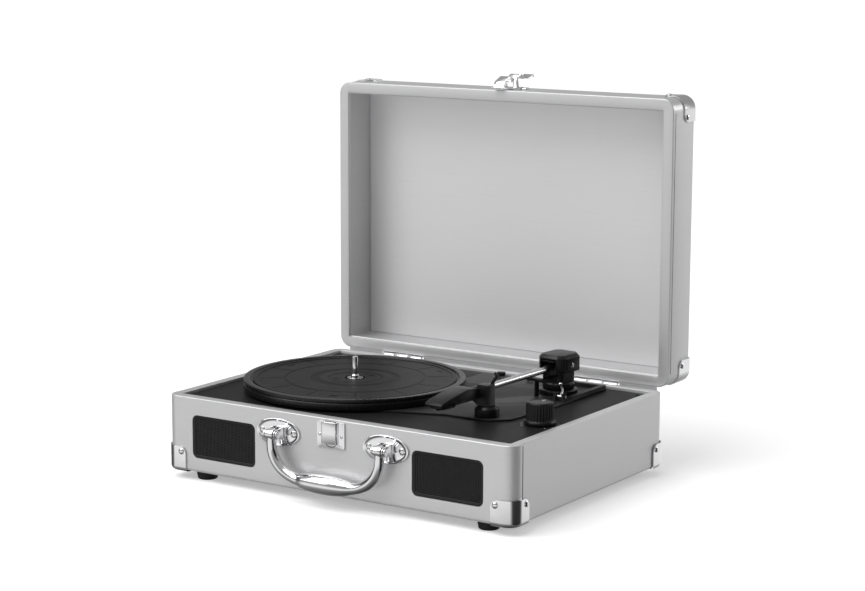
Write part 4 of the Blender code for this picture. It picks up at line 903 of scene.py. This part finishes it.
foot_z = deck_high.z + 0.0007
cap = knob_high.z
rows = [(0.003, knob_low.z, 0), (0.003, foot_z, 0), (0.0130, foot_z, 0), (0.0132, foot_z + 0.0004, 0),
        (0.0132, foot_z + 0.0022, 0), (0.0128, foot_z + 0.0030, 0), (0.0121, foot_z + 0.0035, 0.0002),
        (0.0119, foot_z + 0.0045, 0.0006), (0.0116, cap - 0.0022, 0.0006),
        (0.0113, cap - 0.0010, 0.0003), (0.0106, cap - 0.0003, 0.0001), (0.0098, cap, 0),
        (0.0092, cap, 0), (0.0088, cap - 0.0004, 0), (0.0040, cap - 0.0006, 0),
        (0.0001, cap - 0.0006, 0)]
piece("fluted_volume_knob", [fluted(rows)], black, "knob", "volume_knob")
white = Finish("white_print", {"Roughness": 0.5, "Specular IOR Level": 0.3}, "black_plastic")
white.tint(white.noise((300, 300, 300), 2.0), 0.62, 0.72)
pointer = box_mesh((knob.x - 0.0005, knob.y + 0.0035, cap - 0.0006),
                   (knob.x + 0.0005, knob.y + 0.0086, cap - 0.00035))
piece("knob_pointer", [pointer], white, "knob")

# --------------------------------------------------------------------------- switches
# Two small slide switches in the plate behind the platter, and plain printed tick marks by
# them and round the knob.

for switch in ("speed_switch", "autostop_switch"):
    a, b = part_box(switch)
    ridges = [eased(box_mesh(((a.x + b.x) / 2 + k * 0.0014 - 0.0003, a.y + 0.0006, b.z - 0.0004),
                             ((a.x + b.x) / 2 + k * 0.0014 + 0.0003, b.y - 0.0006, b.z)), 0.0001)
              for k in (-1, 0, 1)]
    piece("moulded_" + switch, [polished(switch, 0.0004)] + ridges, black, switch, switch)
ticks = []
for k in range(11):
    bearing = math.radians(225 - 27 * k)
    out = Vector((math.cos(bearing), math.sin(bearing), 0))
    spot = Matrix.Translation(Vector((knob.x, knob.y, deck_high.z)) + out * 0.0158)
    size = 0.0012 if k in (0, 5, 10) else 0.0007
    ticks.append(put(box_mesh((-size, -0.0002, 0), (size, 0.0002, 0.00012)),
                     spot @ Matrix.Rotation(bearing, 4, "Z")))
for switch in ("speed_switch", "autostop_switch"):
    a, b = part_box(switch)
    for k in (-1, 0, 1) if switch == "speed_switch" else (0, 1):
        x = (a.x + b.x) / 2 + k * 0.004
        ticks.append(box_mesh((x - 0.0002, a.y - 0.0040, plate_top),
                              (x + 0.0002, a.y - 0.0022, plate_top + 0.00012)))
piece("printed_ticks", ticks, white, "case")

# ------------------------------------------------------------------- keeper and handle
# The latch's keeper is a riveted plate with an open-topped pocket. The cast handle hangs by
# an eye at each end between ringed ears, which stand on two oval dished plates.

keeper_low, keeper_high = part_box("latch_keeper")
face_y = keeper_high.y
keeper_z = (keeper_low.z + keeper_high.z) / 2
# A thin near-black line swept round the mouth of the keeper's pocket: painted shade in its opening.
pocket_shadow_line = flowing([(0.0048, 0, 0.0036), (0.0046, 0, 0.0010), (0.0022, 0, -0.0004),
                (-0.0024, 0, -0.0004), (-0.0044, 0, 0.0016)], 24)
pocket_shadow_line = pocket_shadow_line + (0, keeper_low.y + 0.0041, keeper_low.z + 0.0022)
rivets = [head(0.0013, 0.0007, (0, -1, 0), (sx * 0.0110, face_y - 0.0010, keeper_z - 0.0005))
          for sx in (-1, 1)]
piece("pressed_latch_keeper", [polished("latch_keeper", 0.0004, 3)] + rivets, chrome,
      "case", "latch_keeper")
piece("keeper_pocket_shadow", [swept(pocket_shadow_line, np.full(len(pocket_shadow_line), 0.0006), 12)], painted_shade, "case",
      slot="black_rubber")

pin = joint_place["handle_swing"]


def oval_dish(centre_x, width, height):
    """Polar grid over an oval: a raised bead round the rim and a shallow dish inside it."""
    share = np.array([1.0, 1.0, 0.985, 0.955, 0.92, 0.88, 0.84, 0.80, 0.6, 0.4, 0.2, 0.0])[:, None]
    rise = np.array([0, 0.0006, 0.0012, 0.0014, 0.0013, 0.0010, 0.0007, 0.0006, 0.0008, 0.0009,
                     0.0010, 0.0010])[:, None]
    turn = np.linspace(0, 2 * np.pi, 96, endpoint=False)[None, :]
    grid = np.stack([centre_x + width / 2 * share * np.cos(turn),
                     face_y - rise + 0 * turn,
                     pin.z + height / 2 * share * np.sin(turn)], -1)
    return skin(grid, caps="rows")


for side in ("left", "right"):
    a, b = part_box("handle_plate_" + side)
    x = (a.x + b.x) / 2
    parts = [oval_dish(x, b.x - a.x, b.z - a.z)]
    parts += [head(0.0029, 0.0011, (0, -1, 0), (x + sx * 0.0163, face_y - 0.0006, pin.z), "cross")
              for sx in (-1, 1)]
    for sx in (-1, 1):
        for reach, size in ((0.0050, 0.0042), (0.0064, 0.0034)):
            ring = softened([(0, -0.0006), (size, -0.0006), (size, 0.0006), (0, 0.0006)], 0.0004)
            parts.append(turned(ring, (x + sx * reach, pin.y, pin.z), "x"))
        cheek = np.array([(face_y, pin.z - 0.0052), (pin.y + 0.002, pin.z - 0.0040),
                          (pin.y, pin.z - 0.0036), (pin.y, pin.z + 0.0036),
                          (pin.y + 0.002, pin.z + 0.0040), (face_y, pin.z + 0.0052)])
        parts.append(eased(pushed(cheek, x + sx * 0.0050 - 0.0006, x + sx * 0.0050 + 0.0006, "yz"),
                           0.0002))
    parts.append(turned([(0, -0.0065), (0.002, -0.0065), (0.002, 0.0065), (0, 0.0065)],
                        (x, pin.y, pin.z), "x", 24))
    piece("dished_handle_plate_" + side, parts, chrome, "case", "handle_plate_" + side)

span = (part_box("handle_plate_right")[0].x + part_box("handle_plate_right")[1].x) / 2
handle_low, handle_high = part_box("carry_handle")
grip = (handle_high.y - handle_low.y) / 2
drop = pin.z - (handle_low.z + grip)
flow = [(0.0, 0.0, 0.0038), (0.0, 0.20, 0.0043), (-0.02, 0.42, 0.0045), (-0.09, 0.64, 0.0046),
        (-0.21, 0.82, 0.0046), (-0.36, 0.935, 0.0046), (-0.50, 0.985, 0.0051),
        (-0.63, 0.998, 0.0068), (-0.80, 1.0, 0.0081), (-1.0, 1.0, grip)]
knots = [(-span * (1 + out), pin.y, pin.z - drop * fall, r) for out, fall, r in flow]
knots += [(-x, y, z, r) for x, y, z, r in reversed(knots[:-1])]
route = flowing(knots, 140)
bail = swept(route[:, :3], route[:, 3], 40)
eyes = []
for sx in (-1, 1):
    eye = softened([(0.0023, -0.0040), (0.0044, -0.0040), (0.0048, -0.0036), (0.0048, 0.0036),
                    (0.0044, 0.0040), (0.0023, 0.0040)], 0.0002)
    eyes.append(turned(eye, (sx * span, pin.y, pin.z), "x", 48))
piece("cast_carry_handle", [bail] + eyes, chrome, "handle", "carry_handle", sharp=40)

# ---------------------------------------------------------------------- back fittings
# A black plate screwed over the window in the back wall, with its row of sockets, and two
# plated butt hinges.

panel_low, panel_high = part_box("socket_panel")
panel_z = (panel_low.z + panel_high.z) / 2
panel_screws = [head(0.0019, 0.0007, (0, 1, 0), (x, panel_high.y, panel_z), "cross")
                for x in (panel_low.x + 0.0045, panel_high.x - 0.0045)]
piece("moulded_socket_panel", [polished("socket_panel", 0.0003)], black, "case", "socket_panel")
piece("socket_panel_screws", panel_screws, steel, "case")
sockets = {"line_out_left": (0.0032, 0.0052, 0.0016, 0.0085, brass),
           "line_out_right": (0.0032, 0.0052, 0.0016, 0.0085, brass),
           "headphone_socket": (0.0035, 0.0046, 0.0018, 0.0020, steel),
           "power_socket": (0.0044, 0.0058, 0.0032, 0.0022, black)}
for name, (body, flange_radius, bore, reach, finish) in sockets.items():
    a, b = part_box(name)
    face = panel_low.y
    out = panel_high.y - face + gap
    barrel = softened([(0, -0.010), (body, -0.010), (body, out), (flange_radius, out),
                       (flange_radius, out + 0.0012), (body + 0.0009, out + 0.0014),
                       (body + 0.0009, out - gap + reach), (bore, out - gap + reach),
                       (bore, -0.007), (0, -0.007)], 0.0003)
    piece("turned_" + name, [turned(barrel, ((a.x + b.x) / 2, face, panel_z), "y")],
          finish, "case", name)
back_face = base_high.y + gap + 0.0011
lid_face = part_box("lid_shell")[0].z - gap - 0.0011
for leaf in ("base_left", "lid_left", "base_right", "lid_right"):
    a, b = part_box("hinge_" + leaf)
    on_base = leaf.startswith("base")
    facing = (0, 1, 0) if on_base else (0, 0, -1)
    y, z = (back_face, a.z + 0.0042) if on_base else (b.y - 0.0042, lid_face)
    nails = [head(0.0021, 0.0007, facing, ((a.x + b.x) / 2 + k * 0.0160, y, z), "cross")
             for k in (-1, 0, 1)]
    piece("plated_hinge_" + leaf, [polished("hinge_" + leaf, 0.0002)] + nails, chrome,
          "case" if on_base else "lid", "hinge_" + leaf)

# ------------------------------------------------------------------------------- lid
# Shallow wooden walls and a panel under the same cloth, which is turned in over the rim and
# meets a grey lining; a strip of it closes the gap between the hinges. Drawn shut over the
# base, then stood open about the hinge line.

hinge = joint_place["lid_hinge"]
stand_open = (Matrix.Translation(hinge) @ Matrix.Rotation(-math.pi / 2, 4, "X")
              @ Matrix.Translation(-hinge))
lid_low, lid_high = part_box("lid_shell")
lid_top = lid_high.y - hinge.y + hinge.z
lid_rim = lid_low.y - hinge.y + hinge.z
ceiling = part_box("lid_lining")[1].y - hinge.y + hinge.z + gap
profile = [(wall, ceiling), (wall, lid_rim + 0.0034), (wall + 0.0007, lid_rim + 0.0031),
           (wall + 0.0007, lid_rim + 0.0025), (wall, lid_rim + 0.0022)]
profile += quarter((wall, lid_rim + 0.0006), (wall - 0.0006, lid_rim), 1, 2)
profile += quarter((rim_radius, lid_rim), (0, lid_rim + rim_radius), 0, 3)
profile += quarter((0, lid_top - edge_radius), (edge_radius, lid_top), 1)
shell = skin(np.array([case_ring(inset, z) for inset, z in profile]), caps="rows")
piece("covered_lid", [put(shell, stand_open)], silver, "lid", "lid_shell", sharp=28)
leaves = [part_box("hinge_lid_left"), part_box("hinge_lid_right")]
ends = [-half_x + corner_radius, *(x for a, b in leaves for x in (a.x - 0.001, b.x + 0.001)),
        half_x - corner_radius]
flaps = [box_mesh((start, lid_low.y + 0.0003, hinge.z - 0.0012),
                  (end, lid_low.y + 0.0009, lid_low.z + 0.0003))
         for start, end in zip(ends[::2], ends[1::2])]
piece("cloth_hinge_flap", flaps, silver, "lid")
# A thin near-black strip along each side of the lid near its rim: painted shadow of the cloth's seam
# there.
rim_seam_shadows = [box_mesh((side * half_x - 0.0003, seam_y, lid_rim + 0.0040),
                      (side * half_x + 0.0001, 2 * middle_y - seam_y, lid_rim + 0.0046))
             for side in (-1, 1)]
piece("lid_seam_shadows", [put(line, stand_open) for line in rim_seam_shadows], painted_shade, "lid")
lining = Finish("grey_lining", {"Metallic": 0.2, "Specular IOR Level": 0.4})
weave = lining.noise((20, 20, 900), 4.0)
lining.tint(weave * 0.7 + lining.noise((5, 5, 5), 2.0) * 0.3, 0.72, 0.80)
lining.use("Roughness", 0.40 + weave * 0.12)
lining.relief(weave, 0.12, 0.0003)
finished("lid_lining", lining)
for corner_name, (fx, fy) in corners.items():
    parts = [put(part, stand_open) for part in guard(fx, fy, lid_top, -1)]
    piece("plated_lid_guard_" + corner_name, parts, chrome, "lid", "lid_guard_" + corner_name)

# ----------------------------------------------------------------------------- latch
# A rocker pressed from plated sheet, sprung on a pin between the ears of its bracket. The
# bracket is riveted to the lid.

bracket_low, bracket_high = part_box("latch_bracket")
bracket_y = (bracket_low.y + bracket_high.y) / 2
rivets = [head(0.0021, 0.0010, (0, 0, 1), (sx * 0.0118, bracket_y, lid_high.z + gap + 0.0011))
          for sx in (-1, 1)]
piece("pressed_latch_bracket", [polished("latch_bracket", 0.0003)], chrome, "lid", "latch_bracket")
piece("latch_rivets", rivets, steel, "lid")
piece("pressed_latch_lever", [polished("latch_lever", 0.0002)], chrome, "latch", "latch_lever")

# ---------------------------------------------------------------------------- studio
# A pale floor, a broad soft sky, softboxes in front and at the back, and a dark flank at the
# right that the plated corners and the cloth's corners mirror.

floor = bpy.data.meshes.new("floor")
wide = 40.0
floor.from_pydata([(-wide, -wide, 0), (wide, -wide, 0), (wide, wide, 0), (-wide, wide, 0)], [],
                  [(0, 1, 2, 3)])
pale = Finish("pale_floor", {"Base Color": (0.82, 0.82, 0.82, 1), "Roughness": 1.0,
                             "Specular IOR Level": 0.0, "Emission Strength": 0.39,
                             "Emission Color": (1, 1, 1, 1)})
floor.materials.append(pale.material)
ground = bpy.data.objects.new("floor", floor)
show(ground)
ground.visible_glossy = False


def softbox(name, place, target, width, height, power):
    """A plain rectangular area light, aimed at a point."""
    light = bpy.data.lights.new(name, "AREA")
    light.shape = "RECTANGLE"
    light.size = width
    light.size_y = height
    light.energy = power
    lamp = bpy.data.objects.new(name, light)
    lamp.location = place
    lamp.rotation_euler = (Vector(target) - Vector(place)).to_track_quat("-Z", "Y").to_euler()
    show(lamp)


softbox("front_left", (-1.5, -1.5, 1.3), (0, 0, 0.1), 1.2, 1.2, 8)
softbox("overhead", (-0.3, 0.2, 1.9), (0, 0, 0), 1.4, 1.4, 2.5)
softbox("back_right", (1.5, 1.7, 0.8), (0.1, 0, 0.1), 1.0, 0.8, 9)
sun = bpy.data.lights.new("sky_key", "SUN")
sun.energy = 1.75
sun.angle = math.radians(50)
key = bpy.data.objects.new("sky_key", sun)
key.rotation_euler = (math.radians(24), math.radians(-20), 0)
show(key)

world = bpy.data.worlds.new("studio")
world.use_nodes = True
bpy.context.scene.world = world
tree = world.node_tree


def shading(axis, stops):
    """Brightness along one direction of the sky, from -1 to 1, through (place, grey) stops."""
    way = add_node(tree, "SeparateXYZ", {}, {0: add_node(tree, "TexCoord", {}, {})}, axis)
    halved = [(place * 0.5 + 0.5, grey) for place, grey in stops]
    return add_node(tree, "ValToRGB", {"stops": halved}, {0: way * 0.5 + 0.5})


flank = shading(0, [(-1, 0.08), (-0.93, 0.12), (-0.78, 1.0), (0.55, 0.95), (0.80, 0.06), (1, 0.03)])
height = shading(2, [(-1, 0.05), (-0.5, 0.30), (-0.24, 0.98), (-0.05, 0.90), (0.08, 0.40),
                     (0.35, 0.32), (0.75, 0.42), (1, 0.45)])
tree.links.new((flank * height).socket, tree.nodes["Background"].inputs["Color"])
tree.nodes["Background"].inputs["Strength"].default_value = 0.95

camera = bpy.data.cameras.new("view")
camera.lens = 92.38
camera.sensor_width = 36
eye = bpy.data.objects.new("view", camera)
eye.location = (1.05709, -1.60226, 0.48471)
eye.rotation_euler = (math.radians(80.319), math.radians(-0.203), math.radians(33.387))
show(eye)
bpy.context.scene.camera = eye
bpy.context.scene.view_settings.view_transform = "Standard"
